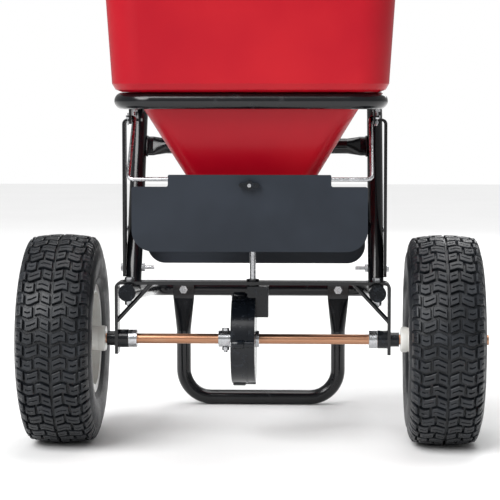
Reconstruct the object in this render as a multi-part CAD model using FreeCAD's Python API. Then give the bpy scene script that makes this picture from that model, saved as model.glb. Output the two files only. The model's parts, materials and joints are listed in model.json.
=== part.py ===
import FreeCAD, Part
import math
import os

# Walk-behind broadcast spreader. Millimetres, +Z up. While it is being modelled the axle is at
# Y = 0 with the ground at Z = 0, +Y points back to the operator and +X to the spreader's right
# hand side as seen from the front. export_all() then moves the origin to the middle of the
# footprint, on the ground.

V = FreeCAD.Vector
X_AXIS = V(1, 0, 0)
Y_AXIS = V(0, 1, 0)
Z_AXIS = V(0, 0, 1)

# ---- wheels and axle ----
TYRE_R = 165.1            # 13 inch turf tyre
TYRE_HALF_W = 58.5        # half the section width
BEAD_R = 76.2             # 6 inch rim
RIM_HALF_W = 50.0
RIM_T = 2.5
BUSH_TO_HUB = 2.0         # gap between the bracket's bush and the wheel hub
HUB_R = 19.0
HUB_INNER = 67.0          # hub length inwards from the wheel centre plane
HUB_OUTER = 62.0
AXLE_R = 7.94             # 5/8 inch
AXLE_TAIL = 10.0          # axle beyond the hub
RUN_GAP = 0.06            # radial clearance of every running fit
SIDE_GAP = 0.5            # end float between turning and fixed faces

# ---- tube frame ----
TUBE_R = 12.7             # 1 inch tube
TUBE_WALL = 1.6
FRAME_HALF = 196.0        # tube centreline to the middle of the machine
ARM_SLOPE = math.radians(4.66)
ARM_ABOVE_AXLE = 72.9     # arm centreline over the axle
ARM_FRONT = -32.0
ARM_REAR = 397.0
LEG_LEAN = math.radians(25.0)
LEG_FOOT_Y = 63.5
LEG_HEIGHT = 282.0        # knee above the arm
LEG_BEND = 70.0
HANDLE_RISE = math.radians(34.0)
SIDE_TUBE_END_Y = 430.0
HANDLE_START_Y = 345.0
HANDLE_TOP_Y = 838.0
HANDLE_BEND = 60.0
HOOP_ABOVE_KNEE = 21.0
HOOP_BEND = 45.0
BRACE_BELOW_HOOP = 75.0
STAND_HALF = 137.5
STAND_BEND = 50.0
CRIMP_HALF_W = 18.5
CRIMP_T = 5.0

# ---- axle bracket ----
STRAP_HALF_W = 16.0
STRAP_T = 5.0
ARM_TO_BRACKET = 3.8      # gap between the arm tube and the bracket's leg
BRACKET_LEG_DROP = 23.0   # leg below the axle centre
BRACKET_BEND = 10.0
BUSH_NECK_R = 10.0
BUSH_FLANGE_R = 14.3
BUSH_NOSE_R = 11.5
BUSH_FLANGE_T = 15.5
BUSH_NOSE_T = 13.5
COLLAR_R = 13.9
COLLAR_W = 13.0

# ---- gearing ----
CROWN_TEETH = 50
PINION_TEETH = 10
MODULE = 2.0
TOOTH_LENGTH = 6.0
TOOTH_HEIGHT = 3.4
GEAR_DISC_T = 4.0
CASE_R = 69.0
CASE_WALL = 3.0
CASE_LEFT = -31.0
CASE_SPLIT = -8.0
CASE_RIGHT = 5.0
GEAR_HUB_R = 13.0
GEAR_HUB_LEFT = -54.0
SHAFT_R = 4.76
SHAFT_BUSH_R = 7.0

# ---- hopper, gate and impeller ----
FUNNEL_H = 147.0          # floor's underside below the hoop
HOPPER_T = 3.5
NECK_TO_HOOP = 11.3       # funnel's side to the hoop's tube
HOPPER_NECK_Y = 112.0
FUNNEL_SLOPE_X = 0.61     # half width gained per millimetre of height
FUNNEL_SLOPE_Y = 0.34
SHOULDER_Y = 133.0
TUB_GROWTH = 15.0         # rounding out above the shoulder
TUB_H = 179.0             # rim above the hoop
RIM_GROWTH = 10.0         # draft of the tub wall up to the rim
LIP_W = 9.0
LIP_H = 10.0
GATE_T = 2.5
GATE_HALF_W = 26.0
GATE_FRONT_Y = 12.0
GATE_REAR_Y = 92.0
PORT_HALF_W = 20.0
SLIDE_GAP = 0.3
IMPELLER_BELOW_FLOOR = 68.0
IMPELLER_R = 113.0
VANE_COUNT = 6
VANE_H = 18.0

# ---- bail, deflector and shield ----
BAIL_WIRE_R = 3.175
BAIL_SIDE_GAP = 12.0      # bail arm inside the hoop's centreline
BAIL_PIVOT_Y = -25.0
BAIL_PIVOT_DROP = 26.0    # pivot below the hoop
BAIL_ROD_Y = -128.8
BAIL_DROP = 92.0          # rod below the pivots
PANEL_SIDE_GAP = 6.0
PANEL_T = 3.0
PANEL_SHOULDER_DROP = 11.0
PANEL_H = 98.0
PANEL_TAB_HALF = 123.0
KNOB_DROP = 8.5           # knob below the bail rod
SHIELD_Y = 145.0
SHIELD_TOP_DROP = 16.0    # below the hopper floor
SHIELD_H = 105.0

# ---- control ----
LEVER_ARM = 50.0
LEVER_HALF_SWING = math.radians(17.5)
LEVER_LENGTH = 96.0
LEVER_T = 4.0
LEVER_X = -12.5           # left face of the lever and of the gate's tab
LINK_R = 2.5
LINK_X = -3.0
LINK_PIN_DROP = 14.0      # link pin below the hopper floor
PIVOT_SETBACK = 45.0      # lever pivot below the handle bar, along the handle
STOP_RADIUS = 44.0
STOP_SWING = math.radians(36.0)


# ---- sizes that follow from the ones above ----
AXLE_Z = TYRE_R
ARM_Z = AXLE_Z + ARM_ABOVE_AXLE
LEG_TOP_Z = ARM_Z + LEG_HEIGHT
HOOP_Z = LEG_TOP_Z + HOOP_ABOVE_KNEE
BRACE_Z = HOOP_Z - BRACE_BELOW_HOOP
HOPPER_FLOOR_Z = HOOP_Z - FUNNEL_H
RIM_Z = HOOP_Z + TUB_H
IMPELLER_Z = HOPPER_FLOOR_Z - IMPELLER_BELOW_FLOOR
BAIL_PIVOT_Z = HOOP_Z - BAIL_PIVOT_DROP
BAIL_ROD_Z = BAIL_PIVOT_Z - BAIL_DROP
PANEL_TOP_Z = BAIL_ROD_Z - PANEL_SHOULDER_DROP
PANEL_BOTTOM_Z = PANEL_TOP_Z - PANEL_H
SHIELD_TOP_Z = HOPPER_FLOOR_Z - SHIELD_TOP_DROP
SHIELD_BOTTOM_Z = SHIELD_TOP_Z - SHIELD_H
SHIELD_BOLT_Z = (SHIELD_TOP_Z + SHIELD_BOTTOM_Z) / 2 + 6.5
LINK_PIN_Z = HOPPER_FLOOR_Z - LINK_PIN_DROP
BRACKET_HALF = FRAME_HALF + TUBE_R + ARM_TO_BRACKET + STRAP_T
TRACK_HALF = BRACKET_HALF + BUSH_NOSE_T + BUSH_TO_HUB + HUB_INNER
HOPPER_NECK_X = FRAME_HALF - TUBE_R - NECK_TO_HOOP
SHOULDER_X = FRAME_HALF - 1.0
BAIL_HALF = FRAME_HALF - BAIL_SIDE_GAP
PANEL_HALF = BAIL_HALF - PANEL_SIDE_GAP


# ------------------------------------------------------------------ helpers
def side_name(side):
    return "right" if side > 0 else "left"


def box(x0, x1, y0, y1, z0, z1):
    return Part.makeBox(x1 - x0, y1 - y0, z1 - z0, V(x0, y0, z0))


def rod(start, end, radius):
    along = end - start
    return Part.makeCylinder(radius, along.Length, start, along)


def ring(start, end, outer, inner):
    return rod(start, end, outer).cut(rod(start, end, inner))


def fuse(shapes):
    body = shapes[0].multiFuse(shapes[1:]) if len(shapes) > 1 else shapes[0]
    return body.removeSplitter()


def mirrored(shape):
    return shape.mirror(V(0, 0, 0), X_AXIS)


def both_sides(shape):
    return Part.makeCompound([shape, mirrored(shape)])


def hexagon(centre, axis, across_flats, height):
    corner = across_flats / math.sqrt(3)
    points = [V(corner * math.cos(math.radians(60 * i)), corner * math.sin(math.radians(60 * i)), 0)
              for i in range(7)]
    prism = Part.Face(Part.makePolygon(points)).extrude(V(0, 0, height))
    prism.Placement = FreeCAD.Placement(centre, FreeCAD.Rotation(Z_AXIS, axis))
    return prism


def bolt(face, axis, radius, length, head):
    """A bolt whose head stands on a face; the axis points from the face out through the head."""
    shank = rod(face - axis * length, face, radius)
    return fuse([shank, hexagon(face, axis, head, radius * 1.4)])


def nut(face, axis, radius, across_flats, thick):
    return hexagon(face, axis, across_flats, thick).cut(rod(face, face + axis * thick, radius))


def rounded_wire(points, radii, closed=False):
    """Straight runs joined by tangent arcs; one radius for each point that is a corner."""
    count = len(points)
    edges = []
    corners = range(count) if closed else range(1, count - 1)
    entry = {}
    leave = {}
    arcs = {}
    for i in corners:
        radius = radii[i] if isinstance(radii, (list, tuple)) else radii
        back = (points[i - 1] - points[i]).normalize()
        ahead = (points[(i + 1) % count] - points[i]).normalize()
        half = back.getAngle(ahead) / 2
        if radius <= 0:
            entry[i] = leave[i] = points[i]
            continue
        entry[i] = points[i] + back * (radius / math.tan(half))
        leave[i] = points[i] + ahead * (radius / math.tan(half))
        middle = (back + ahead).normalize()
        centre = points[i] + middle * (radius / math.sin(half))
        arcs[i] = Part.Arc(entry[i], centre - middle * radius, leave[i]).toShape()
    spans = range(count) if closed else range(count - 1)
    for i in spans:
        j = (i + 1) % count
        start = leave.get(i, points[i])
        end = entry.get(j, points[j])
        if (end - start).Length > 1e-6:
            edges.append(Part.LineSegment(start, end).toShape())
        if j in arcs:
            edges.append(arcs[j])
    return Part.Wire(Part.__sortEdges__(edges))


def plate(points, radii, thickness):
    """A flat outline with rounded corners, thickened along a vector."""
    return Part.Face(rounded_wire(points, radii, closed=True)).extrude(thickness)


def sweep(points, bend, radius):
    path = rounded_wire(points, bend)
    ahead = (points[1] - points[0]).normalize()
    profile = Part.Wire([Part.makeCircle(radius, points[0], ahead)])
    return path.makePipeShell([profile], True, False)


def tube(points, bend):
    return sweep(points, bend, TUBE_R).cut(sweep(points, bend, TUBE_R - TUBE_WALL))


def ellipse_wire(centre, wide, narrow, half_wide, half_narrow):
    curve = Part.Ellipse(centre + wide * half_wide, centre + narrow * half_narrow, centre)
    return Part.Wire([curve.toShape()])


def crimp(start, end, wide, half_wide, half_narrow):
    """A tube end pressed from round at start to a flat oval at end."""
    narrow = (end - start).normalize().cross(wide)
    round_end = ellipse_wire(start, wide, narrow, TUBE_R - 0.1, TUBE_R - 0.11)
    flat_end = ellipse_wire(end, wide, narrow, half_wide, half_narrow)
    return Part.makeLoft([round_end, flat_end], True, True)


def rounded_rectangle(half_x, half_y, z, radius):
    corners = [V(-half_x, -half_y, z), V(half_x, -half_y, z), V(half_x, half_y, z), V(-half_x, half_y, z)]
    return rounded_wire(corners, radius, closed=True)


# ------------------------------------------------------------------ derived places
def arm_z(y):
    """Height of the lower frame's sloping centreline."""
    return ARM_Z - y * math.tan(ARM_SLOPE)


def leg_y(z):
    """Y of the leg's leaning centreline."""
    return LEG_FOOT_Y + (z - arm_z(LEG_FOOT_Y)) * math.tan(LEG_LEAN)


def handle_z(y):
    """Height of the handle's centreline."""
    return LEG_TOP_Z + (y - leg_y(LEG_TOP_Z)) * math.tan(HANDLE_RISE)


def funnel_half(z):
    drop = HOOP_Z - z
    return HOPPER_NECK_X - drop * FUNNEL_SLOPE_X, HOPPER_NECK_Y - drop * FUNNEL_SLOPE_Y


ARM_BEND = FRAME_HALF - STAND_HALF - CRIMP_HALF_W
BRACKET_UNDER_Z = ARM_Z + STRAP_HALF_W * math.tan(ARM_SLOPE) + TUBE_R / math.cos(ARM_SLOPE)
BRACKET_TOP_Z = BRACKET_UNDER_Z + STRAP_T
BUSH_INNER = BRACKET_HALF - STRAP_T - BUSH_FLANGE_T
BUSH_OUTER = BRACKET_HALF + BUSH_NOSE_T
COLLAR_OUTER = BUSH_INNER - SIDE_GAP
AXLE_END = TRACK_HALF + HUB_OUTER + AXLE_TAIL
CROWN_R = MODULE * CROWN_TEETH / 2
PINION_R = MODULE * PINION_TEETH / 2
TOOTH_TIP_X = -PINION_R + TOOTH_HEIGHT / 2
GEAR_FACE_X = TOOTH_TIP_X - TOOTH_HEIGHT
HOOP_FRONT_Y = -(HOPPER_NECK_Y + 1.0 + TUBE_R)
SHOULDER_Z = HOOP_Z + TUBE_R
HANDLE_HALF = FRAME_HALF - 2 * TUBE_R - 0.2
STAND_Y = ARM_REAR - TUBE_R - CRIMP_T / 2
HANDLE_DIR = V(0, math.cos(HANDLE_RISE), math.sin(HANDLE_RISE))
BAR_CENTRE = V(0, HANDLE_TOP_Y, handle_z(HANDLE_TOP_Y))
LEVER_PIVOT = BAR_CENTRE - HANDLE_DIR * PIVOT_SETBACK
LEVER_DIR = V(0, math.sin(LEVER_HALF_SWING), math.cos(LEVER_HALF_SWING))
LINK_TOP = LEVER_PIVOT - LEVER_DIR * LEVER_ARM
GATE_TRAVEL = 2 * LEVER_ARM * math.sin(LEVER_HALF_SWING)
GATE_TOP_Z = HOPPER_FLOOR_Z - SLIDE_GAP
GATE_UNDER_Z = GATE_TOP_Z - GATE_T
PANEL_BACK_Y = BAIL_ROD_Y - BAIL_WIRE_R - 1.0


# ------------------------------------------------------------------ tube frame
def leg_centre(z):
    return V(FRAME_HALF, leg_y(z), z)


def side_tube_path():
    foot = leg_centre(arm_z(LEG_FOOT_Y))
    knee = leg_centre(LEG_TOP_Z)
    end = V(FRAME_HALF, SIDE_TUBE_END_Y, handle_z(SIDE_TUBE_END_Y))
    return [foot, knee, end]


def arm_solid():
    """The whole outside of one lower frame arm, for cutting what is welded to it."""
    return rod(V(FRAME_HALF, ARM_FRONT, arm_z(ARM_FRONT)), V(FRAME_HALF, ARM_REAR, arm_z(ARM_REAR)), TUBE_R)


def lower_frame():
    corners = [V(-FRAME_HALF, ARM_FRONT, arm_z(ARM_FRONT)), V(-FRAME_HALF, ARM_REAR, arm_z(ARM_REAR)),
               V(FRAME_HALF, ARM_REAR, arm_z(ARM_REAR)), V(FRAME_HALF, ARM_FRONT, arm_z(ARM_FRONT))]
    frame_tube = tube(corners, ARM_BEND)
    return frame_tube.cut(both_sides(bracket_bolt_hole())).cut(both_sides(stand_bolt_shank()))


def frame_end_caps():
    back = V(0, math.cos(ARM_SLOPE), -math.sin(ARM_SLOPE))
    mouth = V(FRAME_HALF, ARM_FRONT, arm_z(ARM_FRONT))
    cap = fuse([rod(mouth - back * 5, mouth, TUBE_R + 0.8),
                rod(mouth, mouth + back * 12, TUBE_R - TUBE_WALL)])
    return both_sides(cap)


def side_tube():
    body = tube(side_tube_path(), LEG_BEND).cut(arm_solid())
    return body.cut(leg_bolt_hole()).cut(handle_bolt_holes()).cut(shield_bolt_hole())


def hoop_lug():
    lug = box(BAIL_HALF + 4, BAIL_HALF + 7.5, BAIL_PIVOT_Y - 11, BAIL_PIVOT_Y + 11, BAIL_PIVOT_Z - 10, HOOP_Z)
    return lug.cut(rod(V(BAIL_HALF, BAIL_PIVOT_Y, BAIL_PIVOT_Z), V(BAIL_HALF + 9, BAIL_PIVOT_Y, BAIL_PIVOT_Z),
                       BAIL_WIRE_R + RUN_GAP))


def hopper_hoop():
    end_y = leg_y(LEG_TOP_Z) + (HOOP_Z - LEG_TOP_Z) / math.tan(HANDLE_RISE)
    corners = [V(-FRAME_HALF, end_y, HOOP_Z), V(-FRAME_HALF, HOOP_FRONT_Y, HOOP_Z),
               V(FRAME_HALF, HOOP_FRONT_Y, HOOP_Z), V(FRAME_HALF, end_y, HOOP_Z)]
    legs = both_sides(sweep(side_tube_path(), LEG_BEND, TUBE_R))
    outside = sweep(corners, HOOP_BEND, TUBE_R)
    lugs = both_sides(hoop_lug())
    hoop = tube(corners, HOOP_BEND).cut(legs)
    hoop = hoop.multiFuse([lug.cut(outside) for lug in lugs.Solids])
    pins = both_sides(strap_top_shank()).Solids + hopper_screw_shanks()
    return hoop.cut(Part.makeCompound(pins))


# ---- the flat straps from the legs' feet up to the hoop ----
STRAP_BOTTOM_Z = BRACKET_TOP_Z
STRAP_TOP_Z = HOOP_Z - 28.5
HOOP_STRAP_T = 4.5
LEG_BOLT_Z = BRACKET_TOP_Z + 14.0
HOOP_STRAP_Y = LEG_FOOT_Y + 20.5
HOOP_STRAP_X = FRAME_HALF + TUBE_R + 0.1


def hoop_strap():
    outer = HOOP_STRAP_X + HOOP_STRAP_T
    inner = HOOP_STRAP_X
    corners = [V(inner, HOOP_STRAP_Y - 14, STRAP_BOTTOM_Z), V(outer, HOOP_STRAP_Y - 14, STRAP_BOTTOM_Z),
               V(outer, HOOP_STRAP_Y - 14, STRAP_TOP_Z), V(FRAME_HALF - 13, HOOP_STRAP_Y - 14, STRAP_TOP_Z),
               V(FRAME_HALF - 13, HOOP_STRAP_Y - 14, STRAP_TOP_Z - HOOP_STRAP_T),
               V(inner, HOOP_STRAP_Y - 14, STRAP_TOP_Z - HOOP_STRAP_T)]
    strap = plate(corners, [0, 0, 9, 0, 0, 4.5], V(0, 28, 0))
    return strap.cut(leg_bolt_hole()).cut(strap_top_shank())


def leg_bolt_hole():
    y = leg_y(LEG_BOLT_Z)
    return rod(V(FRAME_HALF - 33, y, LEG_BOLT_Z), V(HOOP_STRAP_X + HOOP_STRAP_T, y, LEG_BOLT_Z), 3.0)


def strap_top_shank():
    return rod(V(FRAME_HALF, HOOP_STRAP_Y, STRAP_TOP_Z - 12), V(FRAME_HALF, HOOP_STRAP_Y, HOOP_Z - 3), 3.0)


def strap_bolts():
    y = leg_y(LEG_BOLT_Z)
    head = hexagon(V(HOOP_STRAP_X + HOOP_STRAP_T, y, LEG_BOLT_Z), X_AXIS, 11, 4)
    leg_nut = nut(V(FRAME_HALF - TUBE_R, y, LEG_BOLT_Z), -X_AXIS, 3.0, 11, 5)
    top = V(FRAME_HALF, HOOP_STRAP_Y, STRAP_TOP_Z)
    low_nut = nut(top, Z_AXIS, 3.0, 11, 5)
    high_nut = nut(V(top.x, top.y, HOOP_Z - TUBE_R - 5), Z_AXIS, 3.0, 11, 5)
    under = hexagon(top - V(0, 0, HOOP_STRAP_T), -Z_AXIS, 11, 4)
    solids = [leg_bolt_hole().fuse(head), leg_nut, strap_top_shank().fuse(under), low_nut, high_nut]
    return Part.makeCompound([both_sides(item) for item in solids])


def cross_brace():
    centre = V(0, leg_y(BRACE_Z), BRACE_Z)
    along_leg = V(0, math.sin(LEG_LEAN), math.cos(LEG_LEAN))
    straight = FRAME_HALF - 46
    flat_start = FRAME_HALF - 24
    body = rod(centre - X_AXIS * straight, centre + X_AXIS * straight, TUBE_R)
    pressed = crimp(centre + X_AXIS * straight, centre + X_AXIS * flat_start, along_leg, 17, 5)
    flat_wire = ellipse_wire(centre + X_AXIS * flat_start, along_leg, X_AXIS.cross(along_leg), 17, 5)
    flat = Part.Face(flat_wire).extrude(X_AXIS * (FRAME_HALF - flat_start))
    end = fuse([pressed, flat]).cut(sweep(side_tube_path(), LEG_BEND, TUBE_R))
    return fuse([body, end, mirrored(end)])


def stand_bolt_shank():
    z = arm_z(ARM_REAR)
    return rod(V(STAND_HALF, STAND_Y - CRIMP_T / 2, z), V(STAND_HALF, ARM_REAR + TUBE_R + 8, z), 4.0)


def stand():
    press_z = arm_z(ARM_REAR) - 74
    flat_z = arm_z(ARM_REAR) - 16
    corners = [V(-STAND_HALF, STAND_Y, press_z), V(-STAND_HALF, STAND_Y, TUBE_R),
               V(STAND_HALF, STAND_Y, TUBE_R), V(STAND_HALF, STAND_Y, press_z)]
    start = V(STAND_HALF, STAND_Y, press_z)
    end = V(STAND_HALF, STAND_Y, flat_z)
    pressed = crimp(start, end, X_AXIS, CRIMP_HALF_W, CRIMP_T / 2)
    flat = box(STAND_HALF - CRIMP_HALF_W, STAND_HALF + CRIMP_HALF_W, STAND_Y - CRIMP_T / 2,
               STAND_Y + CRIMP_T / 2, flat_z, flat_z + 32)
    end_piece = pressed.fuse(flat).cut(stand_bolt_shank())
    return tube(corners, STAND_BEND).fuse([end_piece, mirrored(end_piece)])


def stand_bolts():
    z = arm_z(ARM_REAR)
    head = hexagon(V(STAND_HALF, STAND_Y - CRIMP_T / 2, z), -Y_AXIS, 13, 5)
    back = nut(V(STAND_HALF, ARM_REAR + TUBE_R, z), Y_AXIS, 4.0, 13, 6)
    return Part.makeCompound([both_sides(stand_bolt_shank().fuse(head)), both_sides(back)])


# ------------------------------------------------------------------ axle bracket
def bracket_bolt_hole():
    return rod(V(FRAME_HALF, 4, ARM_Z - TUBE_R - 9), V(FRAME_HALF, 4, BRACKET_TOP_Z), 3.9)


def axle_bracket():
    bottom = AXLE_Z - BRACKET_LEG_DROP
    outer = [V(-BRACKET_HALF, -STRAP_HALF_W, bottom), V(BRACKET_HALF, -STRAP_HALF_W, bottom),
             V(BRACKET_HALF, -STRAP_HALF_W, BRACKET_TOP_Z), V(-BRACKET_HALF, -STRAP_HALF_W, BRACKET_TOP_Z)]
    inside = BRACKET_HALF - STRAP_T
    inner = [V(-inside, -STRAP_HALF_W, bottom), V(inside, -STRAP_HALF_W, bottom),
             V(inside, -STRAP_HALF_W, BRACKET_UNDER_Z), V(-inside, -STRAP_HALF_W, BRACKET_UNDER_Z)]
    across = V(0, 2 * STRAP_HALF_W, 0)
    bend = BRACKET_BEND
    strap = plate(outer, [0, 0, bend, bend], across).cut(plate(inner, [0, 0, bend - STRAP_T,
                                                                       bend - STRAP_T], across))
    bush_hole = rod(V(-BRACKET_HALF, 0, AXLE_Z), V(BRACKET_HALF, 0, AXLE_Z), BUSH_NECK_R)
    shaft_hole = rod(V(0, 0, BRACKET_UNDER_Z), V(0, 0, BRACKET_TOP_Z), SHAFT_BUSH_R)
    return strap.cut(bush_hole).cut(shaft_hole).cut(both_sides(bracket_bolt_hole()))


def bracket_braces():
    brace = rod(V(FRAME_HALF - 36, -10, BRACKET_UNDER_Z + 1), V(BRACKET_HALF, -10, AXLE_Z + 26), 3.4)
    blocks = Part.makeCompound([box(0, BRACKET_HALF + 9, -20, 20, BRACKET_UNDER_Z, BRACKET_TOP_Z + 9),
                                box(BRACKET_HALF - STRAP_T, BRACKET_HALF + 9, -20, 20, 0, BRACKET_TOP_Z)])
    return both_sides(brace.cut(blocks))


def bracket_bolts():
    head = hexagon(V(FRAME_HALF, 4, BRACKET_TOP_Z), Z_AXIS, 13, 5)
    under = nut(V(FRAME_HALF, 4, ARM_Z - TUBE_R - 7), Z_AXIS, 3.9, 13, 6).cut(arm_solid())
    return Part.makeCompound([both_sides(bracket_bolt_hole().fuse(head)), both_sides(under)])


def axle_bushes():
    leg_face = BRACKET_HALF - STRAP_T
    bush = fuse([rod(V(BUSH_INNER, 0, AXLE_Z), V(leg_face, 0, AXLE_Z), BUSH_FLANGE_R),
                 rod(V(leg_face, 0, AXLE_Z), V(BRACKET_HALF, 0, AXLE_Z), BUSH_NECK_R),
                 rod(V(BRACKET_HALF, 0, AXLE_Z), V(BUSH_OUTER, 0, AXLE_Z), BUSH_NOSE_R)])
    return both_sides(bush.cut(axle_line(AXLE_R + RUN_GAP)))


def axle_line(radius):
    return rod(V(-AXLE_END, 0, AXLE_Z), V(AXLE_END, 0, AXLE_Z), radius)


# ------------------------------------------------------------------ gear case
def case_drum(x0, x1, radius):
    return rod(V(x0, 0, AXLE_Z), V(x1, 0, AXLE_Z), radius)


CASE_BOSS_R = 6.0
CASE_BOSS_CIRCLE = CASE_R - 2.5
CASE_SCREW_R = 2.0
PINION_Z = AXLE_Z + CROWN_R
PINION_HALF_H = TOOTH_LENGTH / 2 + 1
HOUSING_TOP = BRACKET_UNDER_Z - 2.5
HOUSING_HALF = 17.0


def case_screw_centres():
    angles = [math.radians(a) for a in (90, 180, 270, 0)]
    return [V(0, CASE_BOSS_CIRCLE * math.cos(a), AXLE_Z + CASE_BOSS_CIRCLE * math.sin(a)) for a in angles]


def case_screw_shank(centre):
    return rod(V(CASE_LEFT, centre.y, centre.z), V(CASE_SPLIT + 2.5, centre.y, centre.z), CASE_SCREW_R)


def gear_case():
    drum = case_drum(CASE_LEFT, CASE_SPLIT, CASE_R)
    bosses = [rod(V(CASE_LEFT, c.y, c.z), V(CASE_SPLIT, c.y, c.z), CASE_BOSS_R) for c in case_screw_centres()]
    body = fuse([drum] + bosses)
    body = body.cut(case_drum(CASE_LEFT + CASE_WALL, CASE_SPLIT, CROWN_R + 8))
    body = body.cut(case_drum(CASE_LEFT, CASE_SPLIT, GEAR_HUB_R + RUN_GAP))
    return body.cut(Part.makeCompound([case_screw_shank(c) for c in case_screw_centres()]))


def gear_case_cover():
    drum = case_drum(CASE_SPLIT, CASE_RIGHT, CASE_R)
    bosses = [rod(V(CASE_SPLIT, c.y, c.z), V(CASE_RIGHT, c.y, c.z),
                  CASE_BOSS_R) for c in case_screw_centres()]
    housing = box(CASE_SPLIT, 25, -HOUSING_HALF, HOUSING_HALF, PINION_Z - 14, HOUSING_TOP)
    body = fuse([drum, housing] + bosses)
    body = body.cut(case_drum(CASE_SPLIT, CASE_RIGHT - CASE_WALL, CROWN_R - 16))
    well = rod(V(0, 0, PINION_Z - PINION_HALF_H - 1), V(0, 0, PINION_Z + PINION_HALF_H + 1), PINION_R + 4)
    shaft_bore = rod(V(0, 0, PINION_Z - 11), V(0, 0, HOUSING_TOP), SHAFT_R + RUN_GAP)
    axle_bore = case_drum(CASE_SPLIT, CASE_RIGHT, AXLE_R + RUN_GAP)
    tooth_room = case_drum(CASE_SPLIT, TOOTH_TIP_X + 0.8, CROWN_R + 8)
    body = body.cut(Part.makeCompound([well, shaft_bore])).cut(axle_bore).cut(tooth_room)
    return body.cut(Part.makeCompound([case_screw_shank(c) for c in case_screw_centres()]))


def gear_case_screws():
    solids = []
    for centre in case_screw_centres():
        head = rod(V(CASE_LEFT - 2.5, centre.y, centre.z), V(CASE_LEFT, centre.y, centre.z),
                   CASE_SCREW_R * 1.9)
        solids.append(case_screw_shank(centre).fuse(head).removeSplitter())
    return Part.makeCompound(solids)


def shaft_bushes():
    low = fuse([rod(V(0, 0, HOUSING_TOP), V(0, 0, BRACKET_UNDER_Z), SHAFT_BUSH_R + 3),
                rod(V(0, 0, BRACKET_UNDER_Z), V(0, 0, BRACKET_TOP_Z), SHAFT_BUSH_R),
                rod(V(0, 0, BRACKET_TOP_Z), V(0, 0, BRACKET_TOP_Z + 3), SHAFT_BUSH_R + 3)])
    floor = HOPPER_FLOOR_Z
    high = fuse([rod(V(0, 0, floor - 3), V(0, 0, floor), SHAFT_BUSH_R + 3),
                 rod(V(0, 0, floor), V(0, 0, floor + HOPPER_T), SHAFT_BUSH_R),
                 rod(V(0, 0, floor + HOPPER_T), V(0, 0, floor + HOPPER_T + 3), SHAFT_BUSH_R + 3)])
    bore = rod(V(0, 0, HOUSING_TOP), V(0, 0, floor + 10), SHAFT_R + RUN_GAP)
    return Part.makeCompound([low.cut(bore), high.cut(bore)])


# ------------------------------------------------------------------ hopper
def hopper_stations(inset, lift):
    """Rounded rectangles from the floor to the rim, moved in by a wall and up by a floor."""
    low_x, low_y = funnel_half(HOPPER_FLOOR_Z)
    tub_x = SHOULDER_X + TUB_GROWTH
    tub_y = SHOULDER_Y + TUB_GROWTH
    sizes = [(low_x, low_y, HOPPER_FLOOR_Z, 22), (HOPPER_NECK_X, HOPPER_NECK_Y, HOOP_Z, 34),
             (HOPPER_NECK_X + 3, HOPPER_NECK_Y + 1, SHOULDER_Z, 34), (SHOULDER_X, SHOULDER_Y,
                                                                      SHOULDER_Z + 0.5, 40),
             (SHOULDER_X + TUB_GROWTH * 0.65, SHOULDER_Y + TUB_GROWTH * 0.65, SHOULDER_Z + 4, 44),
             (tub_x, tub_y, SHOULDER_Z + 13, 48), (tub_x + RIM_GROWTH, tub_y + RIM_GROWTH, RIM_Z, 52)]
    wires = []
    for half_x, half_y, z, radius in sizes:
        raised = z + lift if z < RIM_Z else z + 1
        wires.append(rounded_rectangle(half_x - inset, half_y - inset, raised, radius - inset))
    return wires


def hopper():
    outside = Part.makeLoft(hopper_stations(0, 0)[:-1] + [hopper_rim_wire(0, RIM_Z)], True, True)
    inside = Part.makeLoft(hopper_stations(HOPPER_T, HOPPER_T), True, True)
    lip_low = Part.Face(hopper_rim_wire(LIP_W, RIM_Z - LIP_H)).extrude(V(0, 0, LIP_H))
    body = outside.fuse(lip_low).removeSplitter().cut(inside)
    port = box(-PORT_HALF_W, PORT_HALF_W, GATE_FRONT_Y + 6, GATE_FRONT_Y + GATE_TRAVEL - 2,
               HOPPER_FLOOR_Z, HOPPER_FLOOR_Z + HOPPER_T)
    floor_hole = rod(V(0, 0, HOPPER_FLOOR_Z), V(0, 0, HOPPER_FLOOR_Z + HOPPER_T), SHAFT_BUSH_R)
    return body.cut(Part.makeCompound([port, floor_hole] + hopper_screw_shanks() + guide_screw_shanks()))


def hopper_rim_wire(grow, z):
    half_x = SHOULDER_X + TUB_GROWTH + RIM_GROWTH + grow
    half_y = SHOULDER_Y + TUB_GROWTH + RIM_GROWTH + grow
    return rounded_rectangle(half_x, half_y, z, 52 + grow)


SCREW_X = FRAME_HALF - 9
SCREW_SEAT_Z = SHOULDER_Z + HOPPER_T + 0.5


def hopper_screw_places():
    return [V(x, y, SCREW_SEAT_Z) for x in (-SCREW_X, SCREW_X) for y in (-60, 35)]


def hopper_screw_shanks():
    return [rod(p - V(0, 0, SCREW_SEAT_Z - HOOP_Z - 2), p, 2.5) for p in hopper_screw_places()]


def hopper_screws():
    heads = [rod(p, p + V(0, 0, 3), 4.5) for p in hopper_screw_places()]
    pairs = [h.fuse(s).removeSplitter() for h, s in zip(heads, hopper_screw_shanks())]
    guides = [fuse([s, rod(p - V(0, 0, 2), p, 4)]) for s, p in zip(guide_screw_shanks(),
                                                                   guide_screw_places())]
    return Part.makeCompound(pairs + guides)


GUIDE_OUT = GATE_HALF_W + 10
LIP_TOP_Z = GATE_UNDER_Z - SLIDE_GAP
GUIDE_BASE_Z = LIP_TOP_Z - 2.5
GUIDE_REAR_Y = HOPPER_NECK_Y - (HOOP_Z - HOPPER_FLOOR_Z) * FUNNEL_SLOPE_Y


def guide_screw_places():
    x = GATE_HALF_W + 6
    return [V(side * x, y, GUIDE_BASE_Z) for side in (-1, 1) for y in (12, GUIDE_REAR_Y - 10)]


def guide_screw_shanks():
    return [rod(p, V(p.x, p.y, HOPPER_FLOOR_Z + HOPPER_T), 1.8) for p in guide_screw_places()]


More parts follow.
